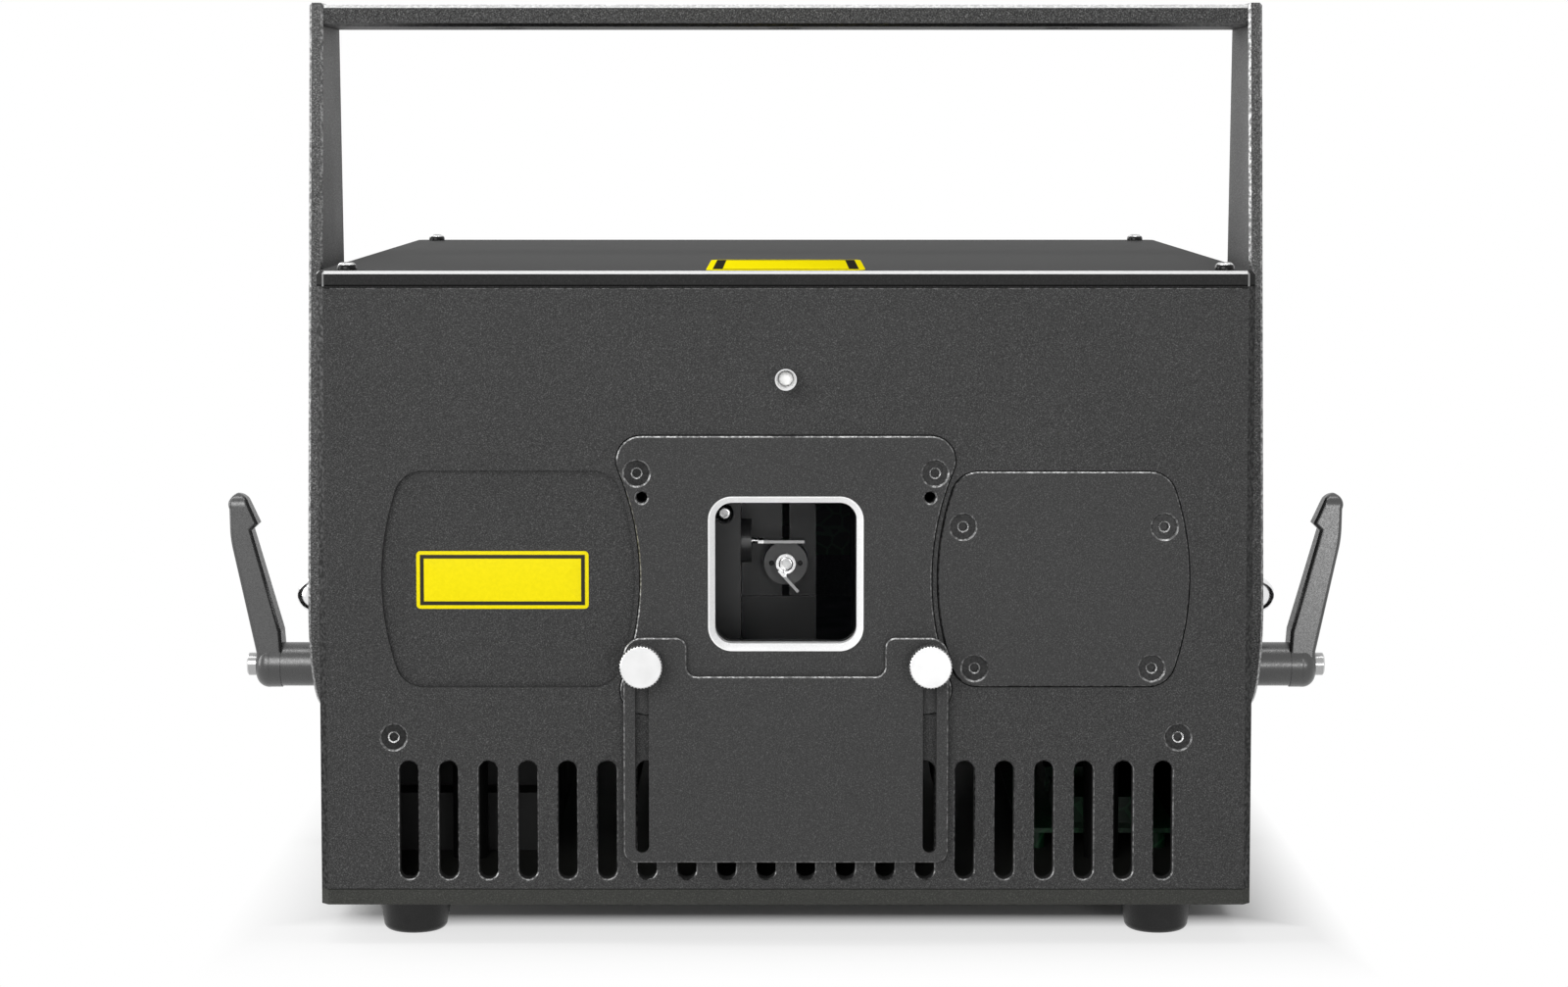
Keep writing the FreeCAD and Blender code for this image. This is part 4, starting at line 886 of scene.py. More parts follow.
@dataclass(frozen=True)
class CircuitBoard(Finish):
    """Green solder mask with paler tracks, over glass cloth.

    Attributes:
        mask: Colour of the solder mask.
        track: Colour of the tracks.
        cell: Width of a field between tracks.
        track_edge: Distances from a track's middle where it starts to end and has ended, in field widths.
        cloth: Width of a thread of the cloth.
        rough: Roughness between the threads.
        uneven: How far the cloth lowers and raises it.
        relief: How much of tracks and cloth shows in the shading.
        depth: Their height.
    """

    mask: Colour = (0.004, 0.035, 0.013)
    track: Colour = (0.014, 0.08, 0.03)
    cell: float = 0.006
    track_edge: Pair = (0.05, 0.09)
    cloth: float = 0.0008
    rough: float = 0.3
    uneven: Pair = (0.0, 0.15)
    relief: float = 0.3
    depth: float = 0.00004

    def paint(self, shader: Shader) -> None:
        """Make the board: tracks along the borders of cells, a faint cloth in the height.

        Args:
            shader: The material in the making.
        """
        tracks = shader.remap(shader.cells(self.cell), self.track_edge, FALL)
        cloth = shader.noise(self.cloth)
        shader.give(Base_Color=shader.mix(Blend.RGBA, tracks, opaque(self.mask), opaque(self.track)),
                    Roughness=shader.sway(cloth, self.rough, self.uneven))
        shader.bump(shader.maths("ADD", tracks, cloth), self.relief, self.depth)


@dataclass(frozen=True)
class PlateYellow(Finish):
    """Yellow of a bare plate, with one dark line round it a little inside its edge.

    Attributes:
        centre: Middle of the plate.
        along: Axis of the side that doesn't run along X.
        reach: Half the width along X and half the other side, out to the line's outer edge.
        gloss: Specular level.
        line: Width of the line.
        level: How bright the yellow is printed.
        yellows: Colour of the print where it is thick and where it is thin.
        dark: Colour of the line.
        grain: Width of the print's grain.
        rough: Middle roughness.
        uneven: How far the grain lowers and raises it.
    """

    centre: Point
    along: Axis
    reach: Pair
    gloss: float
    line: float
    level: float = 1.0
    yellows: tuple[Colour, Colour] = ((0.78, 0.66, 0.003), (0.83, 0.7, 0.004))
    dark: Colour = (0.03, 0.028, 0.02)
    grain: float = 0.0012
    rough: float = 0.4
    uneven: Pair = (-0.06, 0.06)

    def paint(self, shader: Shader) -> None:
        """Make the yellow: the line lies where the farther of two edge distances is within its width.

        Args:
            shader: The material in the making.
        """
        parts = shader.parts(shader.place(self.centre))
        depths = []
        for axis, reach in zip((Axis.X, self.along), self.reach):
            away = shader.maths("ABSOLUTE", parts[axis.value])
            depths.append(shader.maths("SUBTRACT", away, reach))
        line = shader.band(shader.maths("MAXIMUM", *depths), (-self.line - STEP, STEP), STEP)
        grain = shader.noise(self.grain, detail=3.0)
        yellows = [tuple(self.level * part for part in colour) for colour in self.yellows]
        ground = shader.shades(grain, *yellows)
        shader.give(Base_Color=shader.mix(Blend.RGBA, line, ground, opaque(self.dark)),
                    Roughness=shader.sway(grain, self.rough, self.uneven), Specular_IOR_Level=self.gloss)


def dress(finish: Finish, *names: str) -> None:
    """Put one finish on carried-over nodes.

    Args:
        finish: The finish to make.
        names: Names of the nodes.
    """
    material = finish.build()
    for name in names:
        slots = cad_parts[name].data.materials
        slots.clear()
        slots.append(material)
        log.info("%s wears %s", name, finish.name)


def middle(node: str) -> Point:
    """Give the middle of a node's box."""
    low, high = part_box(node)
    return tuple((low + high) / 2)


def put_rings(name: str, grids: np.ndarray, body: str, finish: Finish) -> None:
    """Make one object from stacks of closed rings and ride it on a body.

    Each face joins a point, its neighbour on the ring and the same two points of the next ring, the last
    point of a ring joining the first. A ring whose points all meet closes an end.

    Args:
        name: The piece's name.
        grids: Points, shaped (copies, rings, points on a ring, 3).
        body: Body that carries the piece.
        finish: The finish to make.
    """
    index = np.arange(grids[..., 0].size).reshape(grids.shape[:3])
    ahead = np.roll(index, -1, axis=2)
    quads = np.stack([index[:, :-1], ahead[:, :-1], ahead[:, 1:], index[:, 1:]], axis=-1).reshape(-1, 4)
    mesh = bpy.data.meshes.new(name)
    mesh.from_pydata(grids.reshape(-1, 3).tolist(), [], quads.tolist())
    work = bmesh.new()
    work.from_mesh(mesh)
    bmesh.ops.remove_doubles(work, verts=work.verts, dist=MERGE_DISTANCE)
    bmesh.ops.recalc_face_normals(work, faces=work.faces)
    work.to_mesh(mesh)
    work.free()
    mesh.polygons.foreach_set("use_smooth", np.ones(len(mesh.polygons), dtype=bool))
    mesh.set_sharp_from_angle(angle=SMOOTH_ANGLE)
    mesh.materials.append(finish.build())
    piece = bpy.data.objects.new(name, mesh)
    bpy.context.scene.collection.objects.link(piece)
    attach(piece, body)
    log.info("%s: %d faces on %s", name, len(mesh.polygons), body)


def lay(flat: np.ndarray, heights: np.ndarray, axis: Axis, spots: Sequence[Point],
        sense: Sense = Sense.ALONG) -> np.ndarray:
    """Stand rings up along an axis at each of several spots.

    Args:
        flat: Ring points across the axis, shaped (rings, points, 2).
        heights: Height of each ring along the axis.
        axis: Direction of the axis.
        spots: Where each copy stands.
        sense: Whether the heights run along the axis or against it.

    Returns:
        Points, shaped (copies, rings, points, 3).
    """
    tall = np.broadcast_to(sense.value * heights[:, None], flat.shape[:2])
    order = [flat[..., 0], flat[..., 1]]
    order.insert(axis.value, tall)
    return np.stack(order, axis=-1)[None] + np.array(spots, dtype=float)[:, None, None, :]


def turned(profile: Sequence[Pair], sides: int, flats: Sequence[bool] = ()) -> Rings:
    """Turn a profile round an axis.

    A point of a ring lies at its profile radius in the direction of its angle. On a hexagonal ring the
    radius is divided by the cosine of the angle to the nearest flat's middle, so the ring runs along six
    straight sides.

    Args:
        profile: Radius and height of each ring.
        sides: Points on a ring.
        flats: True for each ring that is hexagonal.

    Returns:
        Ring points across the axis, and their heights.
    """
    radius, heights = np.array(profile, dtype=float).T
    angle = np.linspace(0.0, 2 * pi, sides, endpoint=False)
    six = 1.0 / np.cos((angle + pi / 6) % (pi / 3) - pi / 6)
    round_or_six = np.where(np.array(flats or [False] * len(radius))[:, None], six, 1.0)
    reach = radius[:, None] * round_or_six
    return np.stack([reach * np.cos(angle), reach * np.sin(angle)], axis=-1), heights


def rounded(half_width: float, half_height: float, corner: float, insets: np.ndarray) -> np.ndarray:
    """Trace rounded rectangles, each inset from the first.

    A ring's points are four corner centres with a quarter arc round each. An inset takes its distance off
    the half sides and off the corner radius, and at the shorter half side the ring falls to the middle line.

    Args:
        half_width: Half the width.
        half_height: Half the height.
        corner: Corner radius.
        insets: Distance of each ring from the outline.

    Returns:
        Ring points, shaped (rings, points, 2).
    """
    turn = np.linspace(0.0, pi / 2, CORNER_POINTS)
    angle = (np.arange(4)[:, None] * pi / 2 + turn).ravel()
    side = np.repeat([[1, 1], [-1, 1], [-1, -1], [1, -1]], len(turn), axis=0)
    bend = np.maximum(corner - insets, 0.0)[:, None]
    width = np.maximum(half_width - insets, 0.0)[:, None] - bend
    height = np.maximum(half_height - insets, 0.0)[:, None] - bend
    across = side[:, 0] * width + bend * np.cos(angle)
    up = side[:, 1] * height + bend * np.sin(angle)
    return np.stack([across, up], axis=-1)


@dataclass(frozen=True)
class ScrewHead:
    """Low domed screw head with a hexagon socket.

    Attributes:
        radius: Radius of the head.
        height: Height of the head.
        flat: Half the socket's width across its flats.
        depth: Depth of the socket.
    """

    radius: float
    height: float
    flat: float
    depth: float

    def put(self, name: str, spots: Sequence[Point], slot: str, finish: Finish,
            sense: Sense = Sense.ALONG) -> None:
        """Seat heads on the housing: a skirt and a dome from the rim up, then a wall to the socket's floor.

        Args:
            name: The piece's name.
            spots: Middle of each head's underside.
            slot: The record's material slot; not used.
            finish: The finish to make.
            sense: Whether they face the rear, along Y, or the front.
        """
        dome = [(self.radius * across, self.height * up) for across, up in DOME]
        floor = self.height - self.depth
        head = [(0.0, 0.0), (self.radius, 0.0), *dome, (self.flat * SOCKET_RIM, self.height)]
        socket = [(self.flat, self.height), (self.flat, floor)]
        flats = [False] * len(head) + [True] * len(socket) + [False]
        rings = turned([*head, *socket, (0.0, floor)], SIDES, flats)
        put_rings(name, lay(*rings, Axis.Y, spots, sense), "housing", finish)


@dataclass(frozen=True)
class ContactPin:
    """Straight contact pin with a bevelled end.

    Attributes:
        radius: Radius of the pin.
        length: Length of the pin.
        sides: Points round it.
        bevel: Length of the bevel as a share of the radius.
        end: Radius of the end as a share of the radius.
    """

    radius: float
    length: float
    sides: int
    bevel: float = 0.6
    end: float = 0.45

    def put(self, name: str, spots: Sequence[Point], finish: Finish) -> None:
        """Stand pins in the housing's sockets: a straight shank, drawn in along its bevel.

        Args:
            name: The piece's name.
            spots: Where each pin stands.
            finish: The finish to make.
        """
        shank = self.length - self.radius * self.bevel
        tip = (self.radius * self.end, self.length)
        profile = [(0.0, 0.0), (self.radius, 0.0), (self.radius, shank), tip, (0.0, self.length)]
        put_rings(name, lay(*turned(profile, self.sides), Axis.Y, spots), "housing", finish)


@dataclass(frozen=True)
class BarePlate:
    """Thin yellow plate with a softened edge and one dark line.

    Attributes:
        name: What it lies on.
        size: Width, and height or depth.
        corner: Corner radius.
        line: Width of the dark line, and its distance from the edge.
        gloss: Specular level.
        level: How bright the yellow is printed.
        thickness: Thickness.
    """

    name: str
    size: Pair
    corner: float
    line: Pair
    gloss: float
    level: float = 1.0
    thickness: float = 0.0003

    def put(self, spot: Point, axis: Axis, sense: Sense) -> None:
        """Lay the plate: rounded outlines stacked from its back to its face, drawn in at the edge.

        Args:
            spot: Middle of the face that it lies on.
            axis: Direction that it faces.
            sense: Whether it faces along the axis or against it.
        """
        width, other = self.size
        line, inset = self.line
        edge, rise = np.array(PLATE_EDGE).T * self.thickness
        half = min(self.size) / 2
        insets = np.array([half, *edge, half])
        heights = np.array([rise[0], *rise, rise[-1]])
        rings = rounded(width / 2, other / 2, self.corner, insets)
        along = Axis.Z if axis is Axis.Y else Axis.Y
        reach = (width / 2 - inset, other / 2 - inset)
        finish = PlateYellow(f"{self.name}_yellow", spot, along, reach, self.gloss, line, self.level)
        grids = lay(rings, heights, axis, [spot], sense)
        put_rings(f"{self.name}_plate", grids, "housing", finish)


class Assembly(ABC):
    """What every sub-assembly can do."""

    @abstractmethod
    def dress(self) -> None:
        """Dress the carried-over nodes."""

    def build(self) -> None:
        """Build the pieces that only show, where there are any."""


@dataclass
class Housing(Assembly):
    """Case of coated plates, with its screws and feet.

    Attributes:
        screw: Head of the screws that hold the rear panel to the corner posts.
        screw_inset: Distance of a head from the panel's edges.
        corner_reach: Distance from the middle plane past which the panels' bevels are their corners.
        painted_shade_top: Height of the painted shade along the lid's lower edge, above the front panel's
            top.
    """

    screw: ScrewHead = ScrewHead(0.0038, 0.0011, 0.00125, 0.0009)
    screw_inset: float = 0.009
    corner_reach: float = 0.148
    painted_shade_top: float = 0.0006

    def dress(self) -> None:
        """Dress the plates, posts, feet and screws."""
        dress(PowderCoat("front_coat", Axis.Y, reach=self.corner_reach), "front_panel", "rear_panel")
        dress(PowderCoat("side_coat", Axis.X), "left_side_wall", "right_side_wall")
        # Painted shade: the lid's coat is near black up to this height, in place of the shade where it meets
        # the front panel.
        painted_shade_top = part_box("front_panel")[1].z + self.painted_shade_top
        dress(MachinedLid("lid_coat", Axis.Z, shade=0.019, contrast=0.7, gloss=0.06, painted_shade_top=painted_shade_top), "lid")
        dress(PowderCoat("base_coat", Axis.Z, shade=0.034, tint=(1.01, 1.03, 0.93), contrast=1.0),
              "base_plate")
        # Painted shade: the corner posts are made near black so that the inside of the case reads dark
        # through the vents.
        dress(BrightMetal("post_metal", grey(0.04), rough=0.4, run=(1.0, 1.0, 0.05)), "corner_posts")
        # Painted highlight, partly wear: each dome's crown is bright steel, standing in for the lamps' glint
        # on it as well as for rubbing.
        dress(DarkSteel("lid_screw_steel", Axis.Z, shade=0.012, rough=0.2, bare=0.8, worn=(0.6, 0.95)),
              "lid_screws")
        dress(DarkSteel("flush_screw_steel", bare=0.5), "flush_screws")
        dress(DarkSteel("bench_screw_steel"), "bench_screws")
        dress(DarkSteel("underside_screw_steel", Axis.Z), "underside_screws")
        dress(Rubber("foot_rubber", shade=0.006, rough=0.28, gloss=0.35), "rubber_feet")

    def build(self) -> None:
        """Build the heads that hold the rear panel to the corner posts."""
        low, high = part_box("rear_panel")
        columns = (low.x + self.screw_inset, high.x - self.screw_inset)
        rows = (low.z + self.screw_inset, high.z - self.screw_inset)
        spots = [(x, high.y, z) for x in columns for z in rows]
        self.screw.put("rear_panel_screws", spots, "black_steel", DarkSteel("rear_screw_steel", bare=0.3))


@dataclass
class FrontFace(Assembly):
    """Window plate, sliding mask, thumb screws, service cover, lamp and bare yellow plates.

    Attributes:
        pocket: Yellow plate in the pocket.
        pocket_place: Its middle, across and up.
        lid: Yellow plate on the lid.
        lid_inset: Its distance from the lid's front edge.
    """

    pocket: BarePlate = BarePlate("pocket", (0.0563, 0.019), 0.0014, (0.0011, 0.0013), 0.06)
    pocket_place: Pair = (-0.0925, 0.1201)
    lid: BarePlate = BarePlate("lid", (0.052, 0.083), 0.004, (0.0031, 0.0022), 0.0, 1.2)
    lid_inset: float = 0.0045

    def dress(self) -> None:
        """Dress the carried-over nodes of the front."""
        dress(PowderCoat("fitting_coat", Axis.Y, shade=0.039, rubbed=0.2, contrast=1.2),
              "aperture_plate", "service_cover", "mask_plate")
        dress(BrightMetal("frame_metal", grey(0.97), rough=0.36, depth=0.000003, metallic=0.05),
              "window_frame")
        dress(Rubber("gasket_rubber", shade=0.012), "window_gasket")
        dress(CoatedGlass("window_coating"), "window_glass")
        dress(BrightMetal("retainer_metal", grey(0.02), rough=0.45, metallic=0.3), "window_retainer")
        dress(BrightMetal("lamp_chrome", rough=0.1, depth=0.000005), "lamp_bezel")
        dress(MilkyLens("lamp_lens"), "emission_lamp")
        for name in ("left_thumb_screw", "right_thumb_screw"):
            dress(TurnedSteel(f"{name}_steel", middle(name), Axis.Y), name)

    def build(self) -> None:
        """Lay one bare yellow plate in the pocket and one on the lid."""
        across, up = self.pocket_place
        self.pocket.put((across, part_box("service_cover")[1].y, up), Axis.Y, Sense.AGAINST)
        low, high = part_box("lid")
        depth = self.lid.size[1]
        self.lid.put((0.0, low.y + self.lid_inset + depth / 2, high.z), Axis.Z, Sense.ALONG)


@dataclass
class Yoke(Assembly):
    """Carrying yoke with its pivots and clamp levers.

    Attributes:
        pebble: Width of a pebble in the coat of the arms and crossbar.
    """

    pebble: float = 0.0005

    def dress(self) -> None:
        """Dress the arms, crossbar, pivots and levers."""
        dress(PowderCoat("arm_coat", Axis.X, shade=0.082, grain=self.pebble, contrast=2.4, rubbed=0.2,
                         rough=0.5), "yoke_left_arm", "yoke_right_arm")
        dress(PowderCoat("crossbar_coat", Axis.Z, shade=0.046, grain=self.pebble, contrast=2.6, rubbed=0.28,
                         rough=0.5, chips=(0.9, 1.3)), "yoke_crossbar")
        dress(PowderCoat("hub_coat", Axis.X), "pivot_hubs")
        dress(DarkSteel("yoke_screw_steel", Axis.X), "yoke_screws")
        dress(BrightMetal("washer_steel", rough=0.22), "pivot_washers")
        dress(BrightMetal("dome_steel", rough=0.16, depth=0.000008), "pivot_bolts")
        dress(MouldedPlastic("lever_plastic", shade=0.02, rough=0.28, gloss=1.0, relief=0.05),
              "left_clamp_lever", "right_clamp_lever")
        for name in ("left_lever_screw", "right_lever_screw"):
            dress(TurnedSteel(f"{name}_steel", middle(name), Axis.X, rough=0.2), name)


@dataclass
class Optics(Assembly):
    """Bench with the lasers, mirrors and scanner behind the window, and the supply and boards below it.

    Attributes:
        block_place: Place of the sunk screw from the scanner block's left side and top.
        block_well: Depth of the well that it lies in.
        block_screw: Its head.
        galvo_place: Distance of the small screws from the front galvanometer's axis.
        galvo_screw: Head of a small screw.
        first_hub: Radius that the first mirror's hub takes up.
        hub_reach: Distance of that hub's face from the galvanometer's.
        collar: Radius and height of each step of that hub's collar, from its back to the floor of its bore.
        second_glass: Length of the second mirror's glass.
    """

    block_place: Pair = (0.027, 0.018)
    block_well: float = 0.0028
    block_screw: ScrewHead = ScrewHead(0.0031, 0.0024, 0.00125, 0.0014)
    galvo_place: float = 0.0049
    galvo_screw: ScrewHead = ScrewHead(0.0009, 0.0006, 0.00035, 0.0004)
    first_hub: float = 0.0035
    hub_reach: float = 0.003
    collar: tuple[Pair, ...] = (
        (0.0, 0.0), (0.00245, 0.0), (0.00245, 0.00045), (0.0022, 0.0006), (0.00175, 0.0006),
        (0.00165, 0.0002), (0.00125, 0.0002), (0.00115, 0.00075), (0.00055, 0.00075), (0.0005, 0.0003),
        (0.0, 0.0003))
    second_glass: float = 0.014

    def dress(self) -> None:
        """Dress the bench, everything on it, and the supply, heat sink and boards below it."""
        dress(BrightMetal("bench_anodise", grey(0.03), rough=0.42, run=(0.04, 1.0, 1.0), metallic=0.4),
              "optical_bench")
        dress(BrightMetal("sink_anodise", grey(0.012), rough=0.5, metallic=0.3), "bench_pillars", "heat_sink")
        dress(BrightMetal("scanner_anodise", grey(0.033), rough=0.36, metallic=0.5), "scanner_block")
        dress(BrightMetal("galvo_anodise", grey(0.085), rough=0.36, metallic=0.6),
              "frame_galvo", "line_galvo")
        x, _, z = middle("frame_galvo")
        dress(HubbedMirror("first_mirror_silver", (x, 0.0, z), Axis.Y, self.first_hub), "first_mirror")
        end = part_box("second_mirror")[1].x - self.second_glass
        dress(HubbedMirror("second_mirror_silver", (end, 0.0, 0.0), Axis.X), "second_mirror")
        dress(BrightMetal("combiner_silver", grey(0.75), rough=0.12, depth=0.000002), "combiner_mirrors")
        dress(BrightMetal("laser_anodise", grey(0.03), rough=0.4, metallic=0.5),
              "red_laser", "green_laser", "blue_laser")
        dress(BrightMetal("mount_anodise", grey(0.05), rough=0.4, metallic=0.5), "combiner_mounts")
        # Painted shade: the supply is made near black so that the inside of the case reads dark through the
        # vents.
        dress(BrightMetal("supply_steel", grey(0.016), rough=0.5, grain=0.004, metallic=0.3), "power_supply")
        dress(CircuitBoard("board_green"), "driver_board", "control_board")

    def build(self) -> None:
        """Build the block's sunk screw, the first mirror's stepped collar and its galvanometer's screws."""
        low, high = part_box("scanner_block")
        across, down = self.block_place
        spot = (low.x + across, low.y + self.block_well, high.z - down)
        steel = BrightMetal("scanner_screw_steel", grey(0.6), rough=0.2)
        self.block_screw.put("scanner_screw", [spot], "bright_steel", steel, Sense.AGAINST)
        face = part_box("frame_galvo")[0].y
        x, _, z = middle("frame_galvo")
        spot = (x, face - self.hub_reach, z)
        collar = lay(*turned(self.collar, SIDES), Axis.Y, [spot], Sense.AGAINST)
        steel = BrightMetal("collar_steel", grey(0.7), rough=0.16)
        put_rings("mirror_collar", collar, "first_scan", steel)
        spots = [(x + side * self.galvo_place, face, z) for side in (-1, 1)]
        steel = DarkSteel("galvo_screw_steel", bare=0.3)
        self.galvo_screw.put("galvo_screws", spots, "black_steel", steel, Sense.AGAINST)


@dataclass
class RearFace(Assembly):
    """Fans, sockets, fuse and key on the rear panel.

    Attributes:
        fan_pitch: Distance between a fan's screws.
        fan_screw: Head of a fan's screw.
        flange_width: Width of a round socket's flange.
        flange_place: Place of a flange's screws from its middle, across and up.
        flange_screw: Head of a flange's screw.
        well: Depth of a round socket's well.
        pin_circle: Radius of the circle of pins in a well.
        pin: Pin of a round socket.
        pin_counts: Pins in the mains inlet and in each round socket, from left to right.
        signal_width: Width of a signal socket's flange.
        shell: Depth of a signal socket's shell.
        signal_pin: Pin of a signal socket.
        signal_pitch: Distance between two signal pins, and between their rows.
        signal_rows: Pins in the upper and lower row.
        gold: Colour of the pins.
    """

    fan_pitch: float = 0.032
    fan_screw: ScrewHead = ScrewHead(0.0028, 0.0024, 0.0009, 0.0008)
    flange_width: float = 0.026
    flange_place: Pair = (0.0096, 0.0121)
    flange_screw: ScrewHead = ScrewHead(0.0024, 0.0011, 0.0009, 0.0008)
    well: float = 0.01
    pin_circle: float = 0.0048
    pin: ContactPin = ContactPin(0.0011, 0.0066, 12)
    pin_counts: tuple[int, ...] = (3, 3, 5, 5)
    signal_width: float = 0.053
    shell: float = 0.006
    signal_pin: ContactPin = ContactPin(0.0005, 0.0045, 6)
    signal_pitch: Pair = (0.00276, 0.00284)
    signal_rows: tuple[int, int] = (13, 12)
    gold: Colour = (0.75, 0.56, 0.24)

    def dress(self) -> None:
        """Dress the carried-over nodes of the rear."""
        dress(MouldedPlastic("fan_plastic"), "fan_frames", "left_fan_rotor", "right_fan_rotor")
        dress(BrightMetal("guard_steel", grey(0.5), rough=0.24), "fan_guards")
        dress(MouldedPlastic("socket_plastic", shade=0.025), "mains_inlet", "round_sockets", "fuse_holder")
        dress(BrightMetal("shell_tin", (0.5, 0.49, 0.46), rough=0.3), "signal_sockets")
        dress(BrightMetal("key_nickel", (0.44, 0.42, 0.39), rough=0.22), "key_switch", "key_plug")

    def build(self) -> None:
        """Build the screws, then the pins."""
        self.screws()
        self.pins()

    def wells(self) -> list[Point]:
        """Find the middle of the mains inlet's and each round socket's face.

        Returns:
            The points, from left to right.
        """
        low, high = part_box("round_sockets")
        half = self.flange_width / 2
        z = (low.z + high.z) / 2
        row = np.linspace(low.x + half, high.x - half, len(self.pin_counts) - 1)
        return [(x, high.y, z) for x in (middle("mains_inlet")[0], *row)]

    def screws(self) -> None:
        """Build the screws of the fans and of the sockets' flanges."""
        low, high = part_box("fan_guards")
        radius = (high.z - low.z) / 2
        half = self.fan_pitch / 2
        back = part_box("rear_panel")[1].y
        spots = [(x + across * half, back, (low.z + high.z) / 2 + up * half)
                 for x in (low.x + radius, high.x - radius) for across in (-1, 1) for up in (-1, 1)]
        self.fan_screw.put("fan_screws", spots, "black_steel", DarkSteel("fan_screw_steel", bare=0.3))
        across, up = self.flange_place
        spots = [(x + side * across, y, z - side * up) for x, y, z in self.wells() for side in (-1, 1)]
        steel = DarkSteel("flange_screw_steel", bare=0.3)
        self.flange_screw.put("flange_screws", spots, "black_steel", steel)

    def plating(self, name: str) -> Finish:
        """Give the pins' gold under a name."""
        return BrightMetal(name, self.gold, rough=0.24, depth=0.000005)

    def pins(self) -> None:
        """Build the contact pins: a ring of them in each well, and two rows in each signal socket."""
        spots = []
        for (x, y, z), count in zip(self.wells(), self.pin_counts):
            turn = np.arange(count) * 2 * pi / count + pi / 2
            across = x + self.pin_circle * np.cos(turn)
            up = z + self.pin_circle * np.sin(turn)
            spots += np.stack([across, np.full(count, y - self.well), up], axis=-1).tolist()
        self.pin.put("socket_pins", spots, self.plating("pin_gold"))
        low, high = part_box("signal_sockets")
        half = self.signal_width / 2
        pitch, gap = self.signal_pitch
        floor = high.y - self.shell
        spots = [(x + (k - (count - 1) / 2) * pitch, floor, (low.z + high.z) / 2 + side * gap / 2)
                 for x in (low.x + half, high.x - half) for count, side in zip(self.signal_rows, (1, -1))
                 for k in range(count)]
        self.signal_pin.put("signal_pins", spots, self.plating("signal_pin_gold"))


@dataclass(frozen=True)
class Lamp:
    """Soft rectangular lamp.

    Attributes:
        name: The lamp's name.
        place: Where it hangs.
        size: Width and height.
        watts: Power.
        aim: Point that it faces.
    """

    name: str
    place: Point
    size: Pair
    watts: float
    aim: Point = (0.0, 0.0, 0.12)

    def hang(self) -> None:
        """Hang the lamp and turn it to its aim."""
        light = bpy.data.lights.new(self.name, "AREA")
        light.shape = "RECTANGLE"
        light.size, light.size_y = self.size
        light.energy = self.watts
        lamp = bpy.data.objects.new(self.name, light)
        lamp.location = self.place
        lamp.rotation_euler = (Vector(self.aim) - Vector(self.place)).to_track_quat("-Z", "Y").to_euler()
        bpy.context.scene.collection.objects.link(lamp)


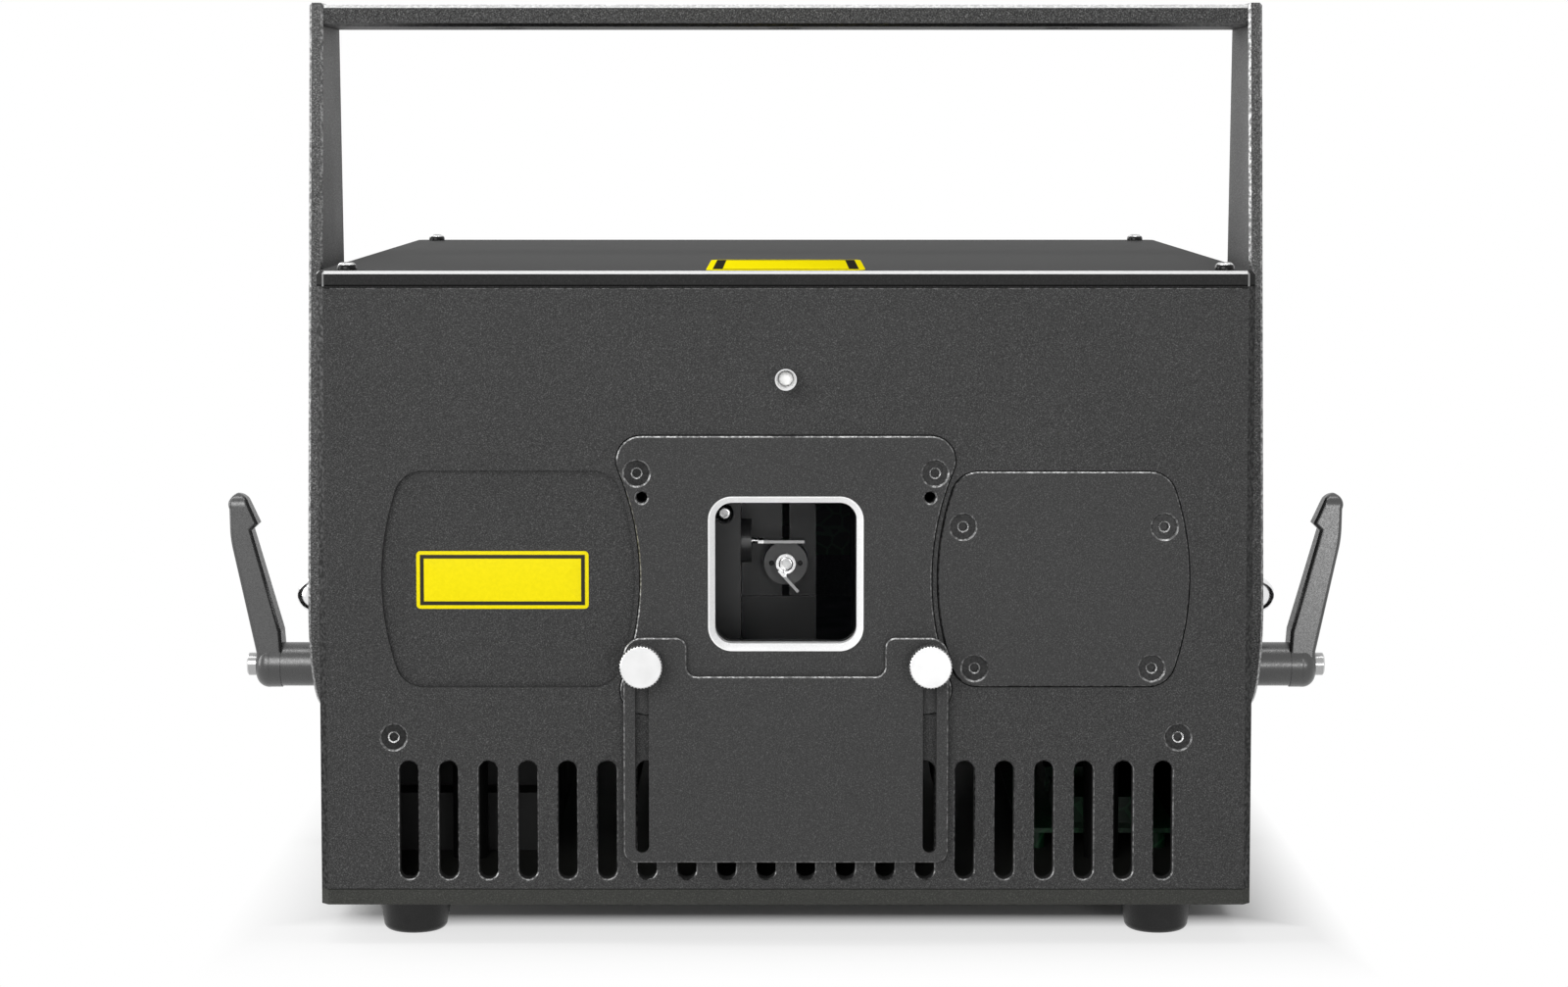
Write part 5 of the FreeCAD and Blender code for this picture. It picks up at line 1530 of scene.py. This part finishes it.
@dataclass
class Studio:
    """Camera, lamps, floor and background.

    Attributes:
        focal: Focal length in photo pixels.
        stand: Place of the camera.
        pitch: Downward tilt in degrees.
        centre: Column and row that the camera's axis meets.
        sensor: Sensor width in millimetres.
        nearest: Distance from which the camera sees.
        ambient: Level of the light from all round.
        floor_half: Half the floor's width.
        floor_gap: Distance of the floor below the part.
        floor_level: Level of the floor's white.
        floor_rough: Roughness of the floor.
        front_fades: Spans, outwards from the base plate's front and rear edges, where the floor turns white,
            and by how much.
        side_fade: Span, outwards from the base plate's sides, where it turns white.
        lamps: The lamps.
    """

    focal: float = 3500.0
    stand: Point = (0.0, -1.2638, 0.2676)
    pitch: float = 4.171
    centre: Pair = (801.85, 384.8)
    sensor: float = 36.0
    nearest: float = 0.01
    ambient: float = 0.32
    floor_half: float = 6.0
    floor_gap: float = 0.00005
    floor_level: float = 0.9
    floor_rough: float = 0.9
    front_fades: tuple[tuple[Pair, float], ...] = (((-0.046, -0.027), 0.7), ((-0.01, 0.045), 0.3))
    side_fade: Pair = (-0.004, 0.036)
    lamps: tuple[Lamp, ...] = (
        Lamp("overhead", (-0.5, -0.16, 1.3), (1.9, 0.3), 8.0, (-0.5, -0.16, 0.0)),
        Lamp("front_key", (-0.6, -1.75, 0.8), (1.2, 0.9), 17.0),
        Lamp("side_fill", (0.5, -1.5, 0.16), (0.5, 0.32), 3.6),
        Lamp("rear_fill", (-1.3, 1.4, 0.9), (1.2, 0.8), 10.0),
        Lamp("edge_light", (-1.5, -0.2, 0.45), (0.5, 0.9), 6.0))

    def camera(self) -> None:
        """Set the camera at the photo's view."""
        lens = bpy.data.cameras.new("view")
        lens.sensor_width = self.sensor
        lens.lens = self.focal / PHOTO_WIDTH * self.sensor
        lens.shift_x = (PHOTO_WIDTH / 2 - self.centre[0]) / PHOTO_WIDTH
        lens.shift_y = (self.centre[1] - PHOTO_HEIGHT / 2) / PHOTO_WIDTH
        lens.clip_start = self.nearest
        view = bpy.data.objects.new("view", lens)
        view.location = self.stand
        view.rotation_euler = (radians(90.0 - self.pitch), 0.0, 0.0)
        bpy.context.scene.collection.objects.link(view)
        bpy.context.scene.camera = view

    def world(self) -> None:
        """Show white to the camera, reflections and glass, and light the rest at a plain level."""
        world = bpy.data.worlds.new("studio")
        world.use_nodes = True
        bpy.context.scene.world = world
        tree = world.node_tree
        first, out = Blend.FLOAT.value
        level = tree.nodes.new("ShaderNodeMix")
        level.data_type = Blend.FLOAT.name
        tree.links.new(shown(tree), level.inputs[0])
        level.inputs[first].default_value = self.ambient
        level.inputs[first + 1].default_value = 1.0
        tree.links.new(level.outputs[out], tree.nodes["Background"].inputs["Strength"])
        tree.nodes["Background"].inputs["Color"].default_value = opaque(grey(1.0))

    def floor_white(self) -> bpy.types.Material:
        """Make the floor's white: it keeps the shadow near the part, and is plain white farther out.

        Returns:
            The material.
        """
        shader = Shader("floor_white")
        shader.give(Base_Color=opaque(grey(self.floor_level)), Roughness=self.floor_rough,
                    Specular_IOR_Level=0.0)
        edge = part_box("base_plate")[1]
        x, y, _ = shader.parts(shader.spot.outputs["Object"])
        aside = shader.maths("SUBTRACT", shader.maths("ABSOLUTE", x), edge.x)
        ahead = shader.maths("SUBTRACT", shader.maths("ABSOLUTE", y), edge.y)
        fades = [shader.remap(ahead, span, (0.0, share)) for span, share in self.front_fades]
        far = shader.maths("MAXIMUM", shader.maths("ADD", *fades), shader.remap(aside, self.side_fade, RISE))
        both = shader.add("ShaderNodeMixShader")
        shader.feed(both.inputs[0], shader.maths("MULTIPLY", far, shown(shader.tree)))
        shader.feed(both.inputs[1], shader.surface.outputs[0])
        shader.feed(both.inputs[2], shader.add("ShaderNodeEmission").outputs[0])
        shader.feed(shader.tree.nodes["Material Output"].inputs["Surface"], both.outputs[0])
        return shader.material

    def floor(self) -> None:
        """Lay the pale floor: one square just below the part."""
        mesh = bpy.data.meshes.new("floor")
        corners = np.array([(-1, -1), (1, -1), (1, 1), (-1, 1)], dtype=float) * self.floor_half
        level = CAD_BOX[0][2] - self.floor_gap
        mesh.from_pydata(np.column_stack([corners, np.full(4, level)]).tolist(), [], [(0, 1, 2, 3)])
        mesh.materials.append(self.floor_white())
        floor = bpy.data.objects.new("floor", mesh)
        bpy.context.scene.collection.objects.link(floor)

    def build(self) -> None:
        """Set the camera, background, floor and lamps."""
        bpy.context.scene.view_settings.view_transform = "Standard"
        self.camera()
        self.world()
        self.floor()
        for lamp in self.lamps:
            lamp.hang()


def main() -> None:
    """Build the sub-assemblies in order, then the studio."""
    logging.basicConfig(level=logging.INFO, format="%(name)s: %(message)s")
    for assembly in (Housing(), FrontFace(), Yoke(), Optics(), RearFace()):
        assembly.dress()
        assembly.build()
    Studio().build()


if __name__ == "__main__":
    main()
